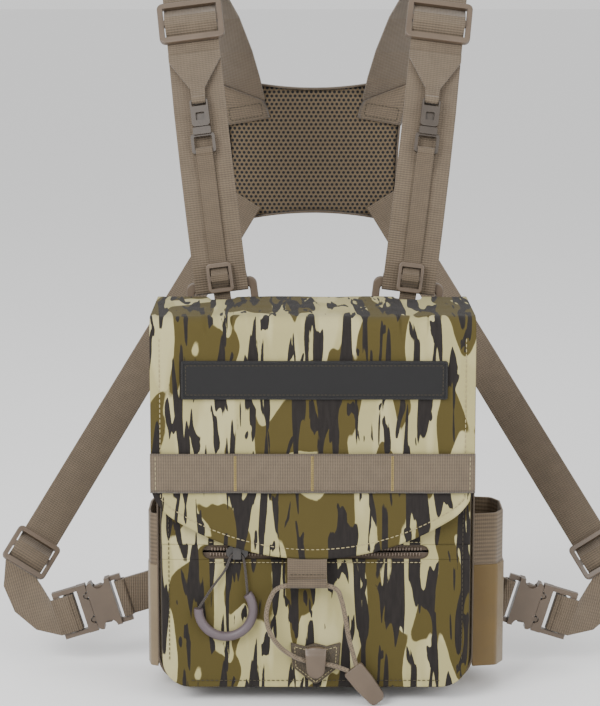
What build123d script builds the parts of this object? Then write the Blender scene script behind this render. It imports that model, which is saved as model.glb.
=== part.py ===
"""Binocular harness pack: a flap-top chest pack on a four-strap harness with a mesh yoke pad.

Millimetres. X to the right as seen from the front, Y towards the wearer, Z up.
The origin is the centre of the pack's rear face, which lies on the chest.
"""

import math
import os

from build123d import *

# ---- overall sizes ----
PACK_W = 202.0
PACK_BOTTOM = -122.0
PACK_TOP = 116.0
CORNER_R = 18.0
TOP_R = 3.0
GAP = 0.4

# ---- layers from the chest forwards ----
CHEST_T = 3.0
COVER_T = 1.5
FOAM_T = 3.5
LINING_T = 1.0
MAIN_D = 61.0
WALL_T = 3.0
FRONT_T = 3.0
POCKET_D = 18.0
MESH_T = 1.6
PANEL_T = 2.5
FLAP_CLEAR = 4.0
FLAP_T = 3.0
BINDING_T = 1.2
BINDING_W = 9.0

Y_CHEST = -CHEST_T
Y_COVER = Y_CHEST - COVER_T
Y_FOAM = Y_COVER - FOAM_T
Y_BACK = Y_FOAM - LINING_T
Y_WALL = Y_BACK - MAIN_D
Y_FRONT = Y_WALL - FRONT_T
Y_GUSSET = Y_FRONT - POCKET_D
Y_PANEL = Y_GUSSET - PANEL_T
Y_FLAP_IN = Y_PANEL - FLAP_CLEAR
Y_FLAP = Y_FLAP_IN - FLAP_T

# ---- webbing and hardware ----
WEB_T = 1.6
STRAP_W = 35.0
SIDE_W = 25.0
TETHER_W = 11.0
BAND_W = 25.4
WEB_CLEAR = 0.75
TETHER_T = 1.2
RING_X = 61.2
RING_Z = 120.0
RING_Y = 1.8
RING_T = 4.0
RING_RAIL = 6.0
RING_SLOT = 10.0
LEAN = 7.2
SLIDER_T = 4.0

# ---- front pocket and zipper ----
PANEL_W = 196.0
POCKET_TOP = 86.0
ZIP_Z = -31.0
ZIP_LEN = 144.0
ZIP_SLOT = 9.0
TAPE_T = 0.8
TEETH_W = 2.2
TEETH_T = 1.6
TEETH_SPLIT = 1.4
SLIDER_X = -50.0
SLIDER_LEN = 14.0
SLIDER_W = 9.0

# ---- flap ----
FLAP_W = 204.0
FLAP_X = -2.0
FLAP_BOTTOM = -34.0
FLAP_SIDE = 2.0
LID_Z = PACK_TOP + 2.3
HINGE_R = 1.5
HINGE_Y = -4.0
NOTCH_W = 18.0
NOTCH_D = 14.0
BAND_Z = 22.0
BAND_T = 1.6
PATCH_W = 167.0
PATCH_H = 24.5
PATCH_Z = 81.5
PATCH_T = 1.4
TAB_X = -5.5
TAB_W = 25.0
TAB_LOW = -52.0
TAB_T = 1.6
CORD_D = 3.0
HOOK_X = 0.0
HOOK_Z = -104.0
HOOK_PATCH_T = 1.8


def front(y):
    """Plane facing the front whose sketch X is world X and sketch Y is world Z."""
    return Plane.XZ.offset(-y)


def outline(half_width, low, high, low_r, high_r, x=0.0):
    """Rectangle with its two lower and its two upper corners rounded."""
    with BuildSketch() as face:
        with Locations((x, (low + high) / 2)):
            Rectangle(2 * half_width, high - low)
        fillet(face.vertices().group_by(Axis.Y)[0], low_r)
        fillet(face.vertices().group_by(Axis.Y)[-1], high_r)
    return face.sketch


HALF = PACK_W / 2

# ---- back of the pack ----
with BuildPart() as chest_mesh:
    with BuildSketch(front(0)):
        add(outline(HALF - 15, PACK_BOTTOM + 14, PACK_TOP - 26, 15, 15))
    extrude(amount=CHEST_T)

with BuildPart() as back_cover:
    with BuildSketch(front(Y_CHEST)):
        add(outline(HALF - BINDING_T, PACK_BOTTOM + BINDING_T, PACK_TOP, CORNER_R, TOP_R))
    extrude(amount=COVER_T)

with BuildPart() as back_foam:
    with BuildSketch(front(Y_COVER)):
        add(outline(HALF - WALL_T, PACK_BOTTOM + WALL_T, PACK_TOP - 1, CORNER_R, TOP_R))
    extrude(amount=FOAM_T)

with BuildPart() as back_lining:
    with BuildSketch(front(Y_FOAM)):
        add(outline(HALF - BINDING_T, PACK_BOTTOM + BINDING_T, PACK_TOP, CORNER_R, TOP_R))
    extrude(amount=LINING_T)

# ---- U-shaped wall, front wall and their linings ----
with BuildPart() as side_wall:
    with BuildSketch(front(Y_BACK)):
        add(outline(HALF, PACK_BOTTOM, PACK_TOP, CORNER_R, 0.5))
        inner = outline(HALF - WALL_T, PACK_BOTTOM + WALL_T, PACK_TOP + 10, CORNER_R - WALL_T, 0.5)
        add(inner, mode=Mode.SUBTRACT)
    extrude(amount=MAIN_D)

with BuildPart() as base_foam:
    with BuildSketch(front(Y_BACK - 2)):
        with Locations((0, PACK_BOTTOM + WALL_T + 2)):
            Rectangle(PACK_W - 2 * CORNER_R - 4, 4)
    extrude(amount=MAIN_D - 4)

with BuildPart() as front_wall:
    with BuildSketch(front(Y_WALL)):
        add(outline(HALF - BINDING_T, PACK_BOTTOM + BINDING_T, PACK_TOP - 6, CORNER_R, TOP_R))
    extrude(amount=FRONT_T)

with BuildPart() as seam_bindings:
    for y_edge in (Y_BACK + 3.0, Y_WALL + BINDING_W - FRONT_T):
        with BuildSketch(front(y_edge)):
            add(outline(HALF + BINDING_T, PACK_BOTTOM - BINDING_T, PACK_TOP - 12, CORNER_R, 0.5))
            hollow = outline(HALF, PACK_BOTTOM, PACK_TOP, CORNER_R, 0.5)
            add(hollow, mode=Mode.SUBTRACT)
        extrude(amount=BINDING_W)

# ---- front pocket ----
PANEL_HALF = PANEL_W / 2
POCKET_LOW = PACK_BOTTOM + 2.0
POCKET_MID = (POCKET_LOW + POCKET_TOP) / 2

with BuildPart() as pocket_gusset:
    with BuildSketch(front(Y_FRONT)):
        add(outline(PANEL_HALF, POCKET_LOW, POCKET_TOP, CORNER_R, 8))
        inside = outline(PANEL_HALF - MESH_T, POCKET_LOW + MESH_T, POCKET_TOP - MESH_T, CORNER_R - MESH_T, 6)
        add(inside, mode=Mode.SUBTRACT)
    extrude(amount=POCKET_D)

with BuildPart() as pocket_panel:
    with BuildSketch(front(Y_GUSSET)):
        add(outline(PANEL_HALF, POCKET_LOW, POCKET_TOP, CORNER_R, 8))
        with Locations((0, ZIP_Z)):
            SlotOverall(ZIP_LEN, ZIP_SLOT, mode=Mode.SUBTRACT)
    extrude(amount=PANEL_T)

# ---- zipper: tapes behind the slot, two rows of teeth, end stops, slider and pull ----
TAPE_W = ZIP_SLOT / 2 + 6.0
with BuildPart() as zipper_tapes:
    with BuildSketch(front(Y_GUSSET + TAPE_T)):
        for side in (1, -1):
            with Locations((0, ZIP_Z + side * (TEETH_SPLIT + TAPE_W) / 2)):
                Rectangle(ZIP_LEN + 12, TAPE_W)
    extrude(amount=TAPE_T)

TEETH_LEN = ZIP_LEN - ZIP_SLOT
with BuildPart() as zipper_teeth:
    with BuildSketch(front(Y_GUSSET)):
        for side in (1, -1):
            with Locations((0, ZIP_Z + side * (TEETH_SPLIT + TEETH_W) / 2)):
                Rectangle(TEETH_LEN, TEETH_W)
    extrude(amount=TEETH_T)

PLATE_T = 1.2
SLIDE_CLEAR = 0.3
CROWN_X = 5.0
CROWN_Z = 7.6
PULL_CORD_D = 1.6
CROWN_HOLE = PULL_CORD_D + 0.7
Y_PLATE = Y_GUSSET - TEETH_T - SLIDE_CLEAR
Y_CROWN = Y_PLATE - PLATE_T
Y_PULL = Y_CROWN - CROWN_HOLE / 2
Y_REAR_PLATE = Y_GUSSET + TAPE_T + SLIDE_CLEAR + PLATE_T

with BuildPart() as zip_slider:
    for y_face in (Y_PLATE, Y_REAR_PLATE):
        with BuildSketch(front(y_face)):
            with Locations((SLIDER_X, ZIP_Z)):
                SlotOverall(SLIDER_LEN, SLIDER_W - 0.8)
        extrude(amount=PLATE_T)
    with BuildSketch(front(Y_REAR_PLATE)):
        with Locations((SLIDER_X + SLIDER_LEN / 2 - 3.5, ZIP_Z)):
            Rectangle(4.0, TEETH_SPLIT - 2 * SLIDE_CLEAR)
    extrude(amount=Y_REAR_PLATE - Y_CROWN)
    with BuildSketch(front(Y_CROWN)):
        with Locations((SLIDER_X, ZIP_Z)):
            Rectangle(CROWN_X, CROWN_Z)
    extrude(amount=CROWN_HOLE + 1.0)
    with BuildSketch(Plane.YZ.offset(SLIDER_X - CROWN_X)):
        with Locations((Y_PULL, ZIP_Z)):
            Rectangle(CROWN_HOLE, 4.2)
    extrude(amount=2 * CROWN_X, mode=Mode.SUBTRACT)


def bends(points):
    """Radius of each inner corner: 0.45 of the shorter run over the tangent of half the turn."""
    radii = []
    for before, here, after in zip(points, points[1:], points[2:]):
        run_in = Vector(*here) - Vector(*before)
        run_out = Vector(*after) - Vector(*here)
        turn = math.radians(run_in.get_angle(run_out))
        radii.append(0.45 * min(run_in.length, run_out.length) / math.tan(turn / 2))
    return radii


def tube(points, diameter):
    """Round cord along straight runs joined by tangent arcs."""
    radii = bends(points)
    with BuildPart() as cord:
        with BuildLine() as route:
            FilletPolyline(*points, radius=radii)
        path = route.wires()[0]
        with BuildSketch(Plane(origin=path @ 0, z_dir=path % 0)):
            Circle(diameter / 2)
        sweep(path=path)
    length = path.length
    ideal = math.pi * diameter**2 / 4 * length
    print("cord length", round(length, 1), "volume ratio", round(cord.part.volume / ideal, 4))
    print("  radii", [round(r, 1) for r in radii])
    return cord


GRIP_D = 6.0
GRIP_Y = Y_PANEL - GAP - GRIP_D / 2
GRIP_LEFT = (-74.6, GRIP_Y, -67.0)
GRIP_LOW = (-60.5, GRIP_Y, -85.0)
GRIP_RIGHT = (-43.4, GRIP_Y, -57.5)
PULL_Z = ZIP_Z - 0.35
PULL_TOP = CROWN_X / 2 + PULL_CORD_D / 2 + 0.5

with BuildPart() as zip_pull_grip:
    with BuildLine() as grip_line:
        ThreePointArc(GRIP_LEFT, GRIP_LOW, GRIP_RIGHT)
    grip_path = grip_line.wires()[0]
    with BuildSketch(Plane(origin=grip_path @ 0, z_dir=grip_path % 0)):
        Circle(GRIP_D / 2)
    sweep(path=grip_path)

zip_pull_cord = tube(
    [
        GRIP_LEFT,
        (-66.0, Y_PULL - 1.2, -53.0),
        (-57.0, Y_PULL - 0.5, -42.0),
        (SLIDER_X - PULL_TOP, Y_PULL, PULL_Z),
        (SLIDER_X + PULL_TOP, Y_PULL, PULL_Z),
        (-44.5, Y_PULL - 0.6, -43.5),
        GRIP_RIGHT,
    ],
    PULL_CORD_D,
)

# ---- leather keeper patch with its plastic hook ----
HOOK_TOP = HOOK_Z + 12.0
HOOK_TIP = HOOK_Z - 8.0
HOOK_W = 14.0
HOOK_BASE_T = 1.0
HOOK_ROOT = 6.0
HOOK_T = 1.8
Y_PATCH_FACE = Y_PANEL - HOOK_PATCH_T
Y_HOOK_BASE = Y_PATCH_FACE - HOOK_BASE_T
HOOK_GAP = CORD_D + 0.8
Y_HOOK_CORD = Y_HOOK_BASE - HOOK_GAP / 2

with BuildPart() as hook_patch:
    with BuildSketch(Plane(origin=(HOOK_X, Y_PANEL, HOOK_Z), x_dir=(1, 0, 0), z_dir=(0, -1, 0))) as shield:
        with BuildLine():
            Polyline((-16, 14), (-7, 11.5), (0, 13.5), (7, 11.5), (16, 14))
            Polyline((16, 14), (15, -2), (0, -14.5), (-15, -2), (-16, 14))
        make_face()
        fillet(shield.vertices().group_by(Axis.Y)[0], 4)
    extrude(amount=HOOK_PATCH_T)

with BuildPart() as closure_hook:
    with BuildSketch(Plane.YZ.offset(HOOK_X - HOOK_W / 2)):
        with BuildLine():
            Polyline(
                (Y_PATCH_FACE, HOOK_TOP),
                (Y_PATCH_FACE, HOOK_TIP),
                (Y_HOOK_BASE, HOOK_TIP),
                (Y_HOOK_BASE, HOOK_TOP - HOOK_ROOT),
                (Y_HOOK_BASE - HOOK_GAP, HOOK_TOP - HOOK_ROOT),
                (Y_HOOK_BASE - HOOK_GAP, HOOK_TIP + 2),
                (Y_HOOK_BASE - HOOK_GAP - HOOK_T, HOOK_TIP + 2),
                (Y_HOOK_BASE - HOOK_GAP - HOOK_T, HOOK_TOP - 2),
                (Y_HOOK_BASE - HOOK_GAP, HOOK_TOP),
                (Y_PATCH_FACE, HOOK_TOP),
            )
        make_face()
    extrude(amount=HOOK_W)

# ---- lid and flap: padded top sheet, rounded hinge bead, front sheet with its band and patch ----
LID_HALF = FLAP_W / 2
HINGE_Z = PACK_TOP + GAP + HINGE_R
LID_REAR = HINGE_Y - 2.2
FOLD_Y = Y_FLAP_IN - FLAP_T / 2
FOLD_Z = LID_Z + FLAP_T / 2
LID_FRONT = Y_FLAP_IN + GAP

with BuildPart() as lid_top:
    with BuildSketch(Plane.XY.offset(LID_Z)):
        with Locations((FLAP_X, (LID_REAR + LID_FRONT) / 2)):
            Rectangle(FLAP_W, LID_REAR - LID_FRONT)
        for side in (1, -1):
            with Locations((side * RING_X, LID_REAR)):
                Rectangle(NOTCH_W, 2 * NOTCH_D, mode=Mode.SUBTRACT)
    extrude(amount=FLAP_T)

BEAD_CLEAR = RING_X + STRAP_W / 2 + 9.0
with BuildPart() as lid_bead:
    for x0, x1 in ((FLAP_X - LID_HALF, -BEAD_CLEAR), (-24.0, 24.0), (BEAD_CLEAR, FLAP_X + LID_HALF)):
        with BuildSketch(Plane.YZ.offset(x0)):
            with Locations((HINGE_Y, HINGE_Z)):
                Circle(HINGE_R)
            with Locations(((LID_REAR + HINGE_Y) / 2, LID_Z + 0.5)):
                Rectangle(HINGE_Y - LID_REAR, 1.0)
        extrude(amount=x1 - x0)

with BuildPart() as flap_front:
    with BuildSketch(front(Y_FLAP_IN)) as sheet:
        with BuildLine():
            Polyline(
                (FLAP_X - LID_HALF, FLAP_SIDE),
                (FLAP_X - LID_HALF, FOLD_Z),
                (FLAP_X + LID_HALF, FOLD_Z),
                (FLAP_X + LID_HALF, FLAP_SIDE),
            )
            ThreePointArc(
                (FLAP_X + LID_HALF, FLAP_SIDE), (FLAP_X, FLAP_BOTTOM), (FLAP_X - LID_HALF, FLAP_SIDE)
            )
        make_face()
        fillet(sheet.vertices().filter_by(lambda v: abs(v.Y - FLAP_SIDE) < 0.1), 14)
    extrude(amount=FLAP_T)
    with BuildSketch(Plane.YZ.offset(FLAP_X - LID_HALF)):
        with Locations((FOLD_Y, FOLD_Z)):
            Circle(FLAP_T / 2)
    extrude(amount=FLAP_W)

with BuildPart() as molle_band:
    with BuildSketch(front(Y_FLAP)):
        with Locations((FLAP_X, BAND_Z)):
            Rectangle(FLAP_W, BAND_W)
    extrude(amount=BAND_T)

with BuildPart() as name_patch:
    with BuildSketch(front(Y_FLAP)):
        with Locations((FLAP_X + 1, PATCH_Z)):
            RectangleRounded(PATCH_W, PATCH_H, 1.5)
    extrude(amount=PATCH_T)

# ---- closure: webbing tab, elastic cord and its pull ----
HEM_BORE = CORD_D + 0.7
HEM_OUT = HEM_BORE + 2 * 0.9
HEM_Z = TAB_LOW + HEM_OUT / 2
HEM_Y = Y_FLAP - HEM_OUT / 2 + 0.4

# the tab hangs from the flap's lower edge, flush with the front of it
with BuildPart() as closure_tab:
    with BuildSketch(front(Y_FLAP + TAB_T)):
        with Locations((TAB_X, (HEM_Z + FLAP_BOTTOM + 4) / 2)):
            Rectangle(TAB_W, FLAP_BOTTOM + 4 - HEM_Z)
    extrude(amount=TAB_T)
    add(flap_front.part, mode=Mode.SUBTRACT)
    with BuildSketch(Plane.YZ.offset(TAB_X - TAB_W / 2)):
        with Locations((HEM_Y, HEM_Z)):
            Circle(HEM_OUT / 2)
    extrude(amount=TAB_W)
    with BuildSketch(Plane.YZ.offset(TAB_X - TAB_W / 2)):
        with Locations((HEM_Y, HEM_Z)):
            Circle(HEM_BORE / 2)
    extrude(amount=TAB_W, mode=Mode.SUBTRACT)

PULL_AXIS = (0.62, 0.0, -0.785)
PULL_LEN = 28.0
PULL_T = 4.0
PULL_Y = Y_FLAP
cord_pull_plane = Plane(origin=(23.4, PULL_Y + PULL_T / 2, -105.4), x_dir=(0.785, 0, 0.62), z_dir=(0, -1, 0))

with BuildPart() as cord_pull:
    with BuildSketch(cord_pull_plane) as pull_face:
        with BuildLine():
            Polyline((-6.8, -12), (-6.8, 0), (6.8, 0), (6.8, -12))
            Polyline((6.8, -12), (5.2, -PULL_LEN), (-5.2, -PULL_LEN), (-6.8, -12))
        make_face()
        fillet(pull_face.vertices().group_by(Axis.Y)[0], 4)
        fillet(pull_face.vertices().group_by(Axis.Y)[-1], 1.5)
    extrude(amount=PULL_T)
    chamfer(cord_pull.faces().filter_by(Axis.Y).edges(), 0.5)

closure_cord = tube(
    [
        (21.1, PULL_Y, -107.3),
        (13.0, -99.2, -104.3),
        (4.5, Y_HOOK_CORD, -102.9),
        (-5.0, Y_HOOK_CORD, -101.8),
        (-14.5, -99.9, -98.0),
        (-23.0, -102.0, -91.2),
        (-29.3, -102.4, -82.0),
        (-32.0, -102.5, -71.5),
        (-30.0, -102.6, -60.5),
        (-23.8, HEM_Y, HEM_Z),
        (12.8, HEM_Y, HEM_Z),
        (17.0, -102.6, -61.5),
        (19.2, -102.4, -74.0),
        (21.2, -102.0, -86.0),
        (24.0, -101.2, -96.0),
        (25.7, PULL_Y, -103.5),
    ],
    CORD_D,
)

# ---- side pockets: gathered fabric with an elastic top band ----
POCKET_X = HALF + BINDING_T
SIDE_POCKET_D = 21.0
SIDE_POCKET_Y = -42.0
SIDE_POCKET_LEN = 52.0
SIDE_POCKET_T = 1.5
SIDE_POCKET_LOW = PACK_BOTTOM + 8.0
SIDE_POCKET_TOP = -12.0
ELASTIC_H = 34.0


def bulge(depth, length):
    """Half-barrel plan shape standing out from the side of the pack."""
    half = length / 2
    with BuildSketch() as plan:
        with BuildLine():
            Polyline((0, -half), (depth * 0.75, -half + 3), (depth, -half * 0.5), (depth, half * 0.5))
            Polyline((depth, half * 0.5), (depth * 0.75, half - 3), (0, half), (0, -half))
        make_face()
        outer = plan.vertices().filter_by(lambda v: v.X > 1)
        fillet(outer, min(4, depth / 2))
    return plan.sketch


def side_pocket(low, high, depth, floor):
    """Open-topped pocket, with a floor or without one, on the pack's +X side."""
    base = Plane(origin=(POCKET_X, SIDE_POCKET_Y, low), x_dir=(1, 0, 0), z_dir=(0, 0, 1))
    with BuildPart() as pocket:
        with BuildSketch(base):
            add(bulge(depth, SIDE_POCKET_LEN))
            thin = bulge(depth - SIDE_POCKET_T, SIDE_POCKET_LEN - 2 * SIDE_POCKET_T)
            add(thin, mode=Mode.SUBTRACT)
        extrude(amount=high - low)
        if floor:
            with BuildSketch(base):
                add(bulge(depth, SIDE_POCKET_LEN))
            extrude(amount=SIDE_POCKET_T)
    return pocket


def mirrored(piece):
    """The same piece on the other side of the pack."""
    with BuildPart() as twin:
        add(mirror(piece.part, about=Plane.YZ, mode=Mode.PRIVATE))
    return twin


def both_sides(piece):
    """One node of two identical pieces, one on each side."""
    with BuildPart() as pair:
        add(piece.part)
        add(mirror(piece.part, about=Plane.YZ, mode=Mode.PRIVATE))
    return pair


side_pocket_right = side_pocket(SIDE_POCKET_LOW, SIDE_POCKET_TOP - ELASTIC_H, SIDE_POCKET_D, True)
# the sleeve on the other side is the same size but lies nearly flat
SLEEVE_D = 7.0
side_pocket_left = mirrored(side_pocket(SIDE_POCKET_LOW, SIDE_POCKET_TOP - ELASTIC_H, SLEEVE_D, True))
pocket_elastic_right = side_pocket(SIDE_POCKET_TOP - ELASTIC_H, SIDE_POCKET_TOP, SIDE_POCKET_D - 1.0, False)
pocket_elastic_left = mirrored(side_pocket(SIDE_POCKET_TOP - ELASTIC_H, SIDE_POCKET_TOP, SLEEVE_D - 0.5, False))

# ---- harness: everything on one shoulder lies in one leaning plane ----
LEAN_SIN = math.sin(math.radians(LEAN))
LEAN_COS = math.cos(math.radians(LEAN))
ACROSS = (LEAN_COS, 0, -LEAN_SIN)
shoulder = Plane(origin=(RING_X, 0, RING_Z), x_dir=(0, 1, 0), z_dir=ACROSS)
BAR_U = RING_SLOT / 2 + RING_RAIL / 2


def in_lean(y, u):
    """World point at depth y and height u in the leaning shoulder plane."""
    return (RING_X + u * LEAN_SIN, y, RING_Z + u * LEAN_COS)


def strip(points, width, thickness, across, radius):
    """Flat webbing whose width lies along one fixed direction."""
    with BuildPart() as web:
        with BuildLine() as route:
            FilletPolyline(*points, radius=radius)
        path = route.wires()[0]
        with BuildSketch(Plane(origin=path @ 0, x_dir=across, z_dir=path % 0)):
            Rectangle(width, thickness)
        sweep(path=path)
    return web


def loop_round(plane, centre, bar, clear, thickness, width):
    """Webbing folded round a bar of rectangular section."""
    with BuildPart() as web:
        with BuildSketch(plane):
            with Locations(centre):
                RectangleRounded(
                    bar[0] + 2 * (clear + thickness), bar[1] + 2 * (clear + thickness), clear + thickness
                )
                Rectangle(bar[0] + 2 * clear, bar[1] + 2 * clear, mode=Mode.SUBTRACT)
        extrude(amount=width / 2, both=True)
    return web


with BuildPart() as one_ring:
    ring_face = Plane(origin=(RING_X, RING_Y + RING_T / 2, RING_Z), x_dir=ACROSS, z_dir=(0, -1, 0))
    with BuildSketch(ring_face):
        RectangleRounded(STRAP_W + 12, RING_SLOT + 2 * RING_RAIL, 5)
        RectangleRounded(STRAP_W + 2, RING_SLOT, 2, mode=Mode.SUBTRACT)
    extrude(amount=RING_T)
    fillet(one_ring.faces().filter_by(Axis.Y).edges(), 0.9)
top_rings = both_sides(one_ring)

tab_loop = loop_round(shoulder, (RING_Y, -BAR_U), (RING_T, RING_RAIL), WEB_CLEAR, WEB_T, STRAP_W)
with BuildPart() as one_ring_tab:
    add(tab_loop.part)
    with BuildSketch(shoulder):
        with Locations((Y_CHEST + WEB_T / 2, -(BAR_U + 25.0) / 2)):
            Rectangle(WEB_T, 25.0 - BAR_U)
    extrude(amount=STRAP_W / 2, both=True)
ring_tabs = both_sides(one_ring_tab)


def turned(centre, tilt, points):
    """Points given along and in front of a tilted piece, as points of the leaning plane."""
    c = math.cos(math.radians(tilt))
    s = math.sin(math.radians(tilt))
    return [in_lean(centre[0] + t * s - n * c, centre[1] + t * c + n * s) for t, n in points]


BIG_AT = (57.0, 181.0)
BIG_TILT = 30.0
BIG_BAR = 4.0
BIG_SLOT = 9.0
WEAVE_IN = BIG_BAR / 2 + 0.8
WEAVE_OUT = BIG_BAR / 2 + BIG_SLOT - 0.5
WEAVE_UP = SLIDER_T / 2 + WEB_T / 2 + 0.6
WEAVE_DOWN = -(SLIDER_T / 2 + WEB_T / 2 + 0.4)

strap_low = [in_lean(RING_Y - RING_T / 2 - WEB_CLEAR - WEB_T / 2, u) for u in (BAR_U, 22.0)]
strap_mid = [in_lean(y, u) for y, u in ((2.5, 50.0), (11.0, 86.0), (25.0, 122.0))]
strap_top = turned(
    BIG_AT,
    BIG_TILT,
    [
        (-30.0, WEAVE_DOWN),
        (-WEAVE_OUT, WEAVE_DOWN),
        (-WEAVE_IN, WEAVE_UP),
        (WEAVE_IN, WEAVE_UP),
        (WEAVE_OUT, WEAVE_DOWN),
        (30.0, WEAVE_DOWN),
    ],
)
JOIN_T = 24.0
join_at = Vector(*turned(BIG_AT, BIG_TILT, [(JOIN_T, WEAVE_DOWN)])[0])
join_way = (join_at - Vector(*turned(BIG_AT, BIG_TILT, [(0.0, WEAVE_DOWN)])[0])).normalized()
join_plane = Plane(origin=join_at, z_dir=join_way)
strap_loop = loop_round(shoulder, (RING_Y, BAR_U), (RING_T, RING_RAIL), WEB_CLEAR, WEB_T, STRAP_W)
strap_run = strip(strap_low + strap_mid + strap_top, STRAP_W, WEB_T, ACROSS, 1.6)
with BuildPart() as shoulder_strap_right:
    add(strap_loop.part)
    add(strap_run.part)
    split(bisect_by=join_plane, keep=Keep.BOTTOM)
shoulder_strap_left = mirrored(shoulder_strap_right)


def glide(centre, along, across, width, margin, slot, bar, thickness):
    """Tri-glide: a flat rounded frame with two slots each side of a centre bar."""
    facing = Vector(*along).cross(Vector(*across)).normalized()
    base = Plane(origin=centre, x_dir=across, z_dir=facing).offset(-thickness / 2)
    with BuildPart() as frame:
        with BuildSketch(base):
            RectangleRounded(width + margin, 2 * slot + 3 * bar, bar)
            with Locations((0, (bar + slot) / 2), (0, -(bar + slot) / 2)):
                Rectangle(width + 1.6, slot, mode=Mode.SUBTRACT)
        extrude(amount=thickness)
        fillet(frame.edges().filter_by(GeomType.CIRCLE), 0.8)
    return frame


big_along = Vector(*turned(BIG_AT, BIG_TILT, [(1, 0)])[0]) - Vector(*turned(BIG_AT, BIG_TILT, [(0, 0)])[0])
shoulder_sliders = both_sides(
    glide(in_lean(*BIG_AT), tuple(big_along), ACROSS, STRAP_W, 9.0, BIG_SLOT, BIG_BAR, SLIDER_T)
)

# ---- yoke: mesh pad behind the neck with a bound edge, and the straps that carry it ----
PAD_Y = 186.0
PAD_T = 7.0
PAD_BACK_T = 1.5
PAD_TOP = 256.0
PAD_TOP_MID = 246.0
PAD_LOW = 149.0
PAD_LOW_MID = 157.0
PAD_TOP_HALF = 68.0
PAD_WAIST = 61.0
PAD_LOW_HALF = 61.0
PAD_BIND = 1.4


def pad_outline(grow):
    """Pad face: hollowed top and bottom edges and slightly waisted sides."""
    high = PAD_TOP + grow
    low = PAD_LOW - grow
    top_half = PAD_TOP_HALF + grow
    low_half = PAD_LOW_HALF + grow
    middle = (high + low) / 2
    with BuildSketch() as face:
        with BuildLine():
            ThreePointArc((-top_half, high), (0, PAD_TOP_MID + grow), (top_half, high))
            ThreePointArc((top_half, high), (PAD_WAIST + grow, middle), (low_half, low))
            ThreePointArc((low_half, low), (0, PAD_LOW_MID - grow), (-low_half, low))
            ThreePointArc((-low_half, low), (-PAD_WAIST - grow, middle), (-top_half, high))
        make_face()
        fillet(face.vertices(), 5 + grow)
    return face.sketch


with BuildPart() as yoke_pad:
    with BuildSketch(front(PAD_Y + PAD_T)):
        add(pad_outline(0))
    extrude(amount=PAD_T)

with BuildPart() as yoke_backing:
    with BuildSketch(front(PAD_Y + PAD_T + PAD_BACK_T)):
        add(pad_outline(0))
    extrude(amount=PAD_BACK_T)

with BuildPart() as yoke_binding:
    with BuildSketch(front(PAD_Y + PAD_T + PAD_BACK_T)):
        add(pad_outline(PAD_BIND))
        add(pad_outline(0), mode=Mode.SUBTRACT)
    extrude(amount=PAD_T + PAD_BACK_T)

YOKE_END_X = 54.0
yoke_from = join_at
yoke_to = Vector(YOKE_END_X, PAD_Y, PAD_TOP - 9.0)
yoke_flat = Vector(yoke_to.X - yoke_from.X, yoke_to.Y - yoke_from.Y, 0).normalized()
yoke_across = tuple(yoke_flat.cross(Vector(0, 0, 1)))
yoke_span = Vector(yoke_to.X - yoke_from.X, yoke_to.Y - yoke_from.Y, 0).length


def over_shoulder(share, lift):
    """Point on the way from the shoulder slider to the pad, lifted over the shoulder."""
    way = yoke_from + yoke_flat * (yoke_span * share)
    return (way.X, way.Y, yoke_from.Z + (yoke_to.Z - yoke_from.Z) * share + lift)


yoke_run = strip(
    [
        over_shoulder(-0.06, -9.0),
        over_shoulder(0.08, 9.0),
        over_shoulder(0.28, 17.0),
        over_shoulder(0.52, 18.5),
        over_shoulder(0.78, 12.5),
        over_shoulder(0.94, 4.0),
        over_shoulder(1.06, -7.0),
    ],
    STRAP_W,
    WEB_T,
    yoke_across,
    8.0,
)
# only the shoulder end is cut at the join; the far end is cut at the pad's face
HALF_WAY = front((join_at.Y + PAD_Y) / 2)
with BuildPart() as yoke_shoulder_end:
    add(yoke_run.part)
    split(bisect_by=HALF_WAY, keep=Keep.TOP)
    split(bisect_by=join_plane, keep=Keep.TOP)
with BuildPart() as yoke_pad_end:
    add(yoke_run.part)
    split(bisect_by=HALF_WAY, keep=Keep.BOTTOM)
    split(bisect_by=front(PAD_Y), keep=Keep.TOP)
with BuildPart() as yoke_strap_right:
    add(yoke_shoulder_end.part)
    add(yoke_pad_end.part)
yoke_strap_left = mirrored(yoke_strap_right)

# ---- tethers: funnel webbing, small release buckle, webbing with its glide, sewn end ----
CLIP_AT = (15.8, 112.0)
CLIP_TILT = 20.0
CLIP_W = 12.0
CLIP_T = 6.4
CLIP_LEN = 19.6
CLIP_BAR = 2.0
CLIP_SLOT = 3.7
CLIP_BAR_T = 2.4
CLIP_WALL = 1.5
CLIP_CLEAR = 0.35
TONGUE_LEN = 11.0
CLIP_TRAVEL = 13.0
clip_origin = in_lean(*CLIP_AT)
clip_up = Vector(*turned(CLIP_AT, CLIP_TILT, [(1, 0)])[0]) - Vector(*clip_origin)
clip_front = Vector(*turned(CLIP_AT, CLIP_TILT, [(0, 1)])[0]) - Vector(*clip_origin)
clip_face = Plane(origin=clip_origin, x_dir=ACROSS, z_dir=clip_front)
clip_side = Plane(origin=clip_origin, x_dir=clip_front, z_dir=ACROSS)
CAVITY_W = CLIP_W - 2 * CLIP_WALL - 1.0
CAVITY_T = CLIP_T - 2 * CLIP_WALL

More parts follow.
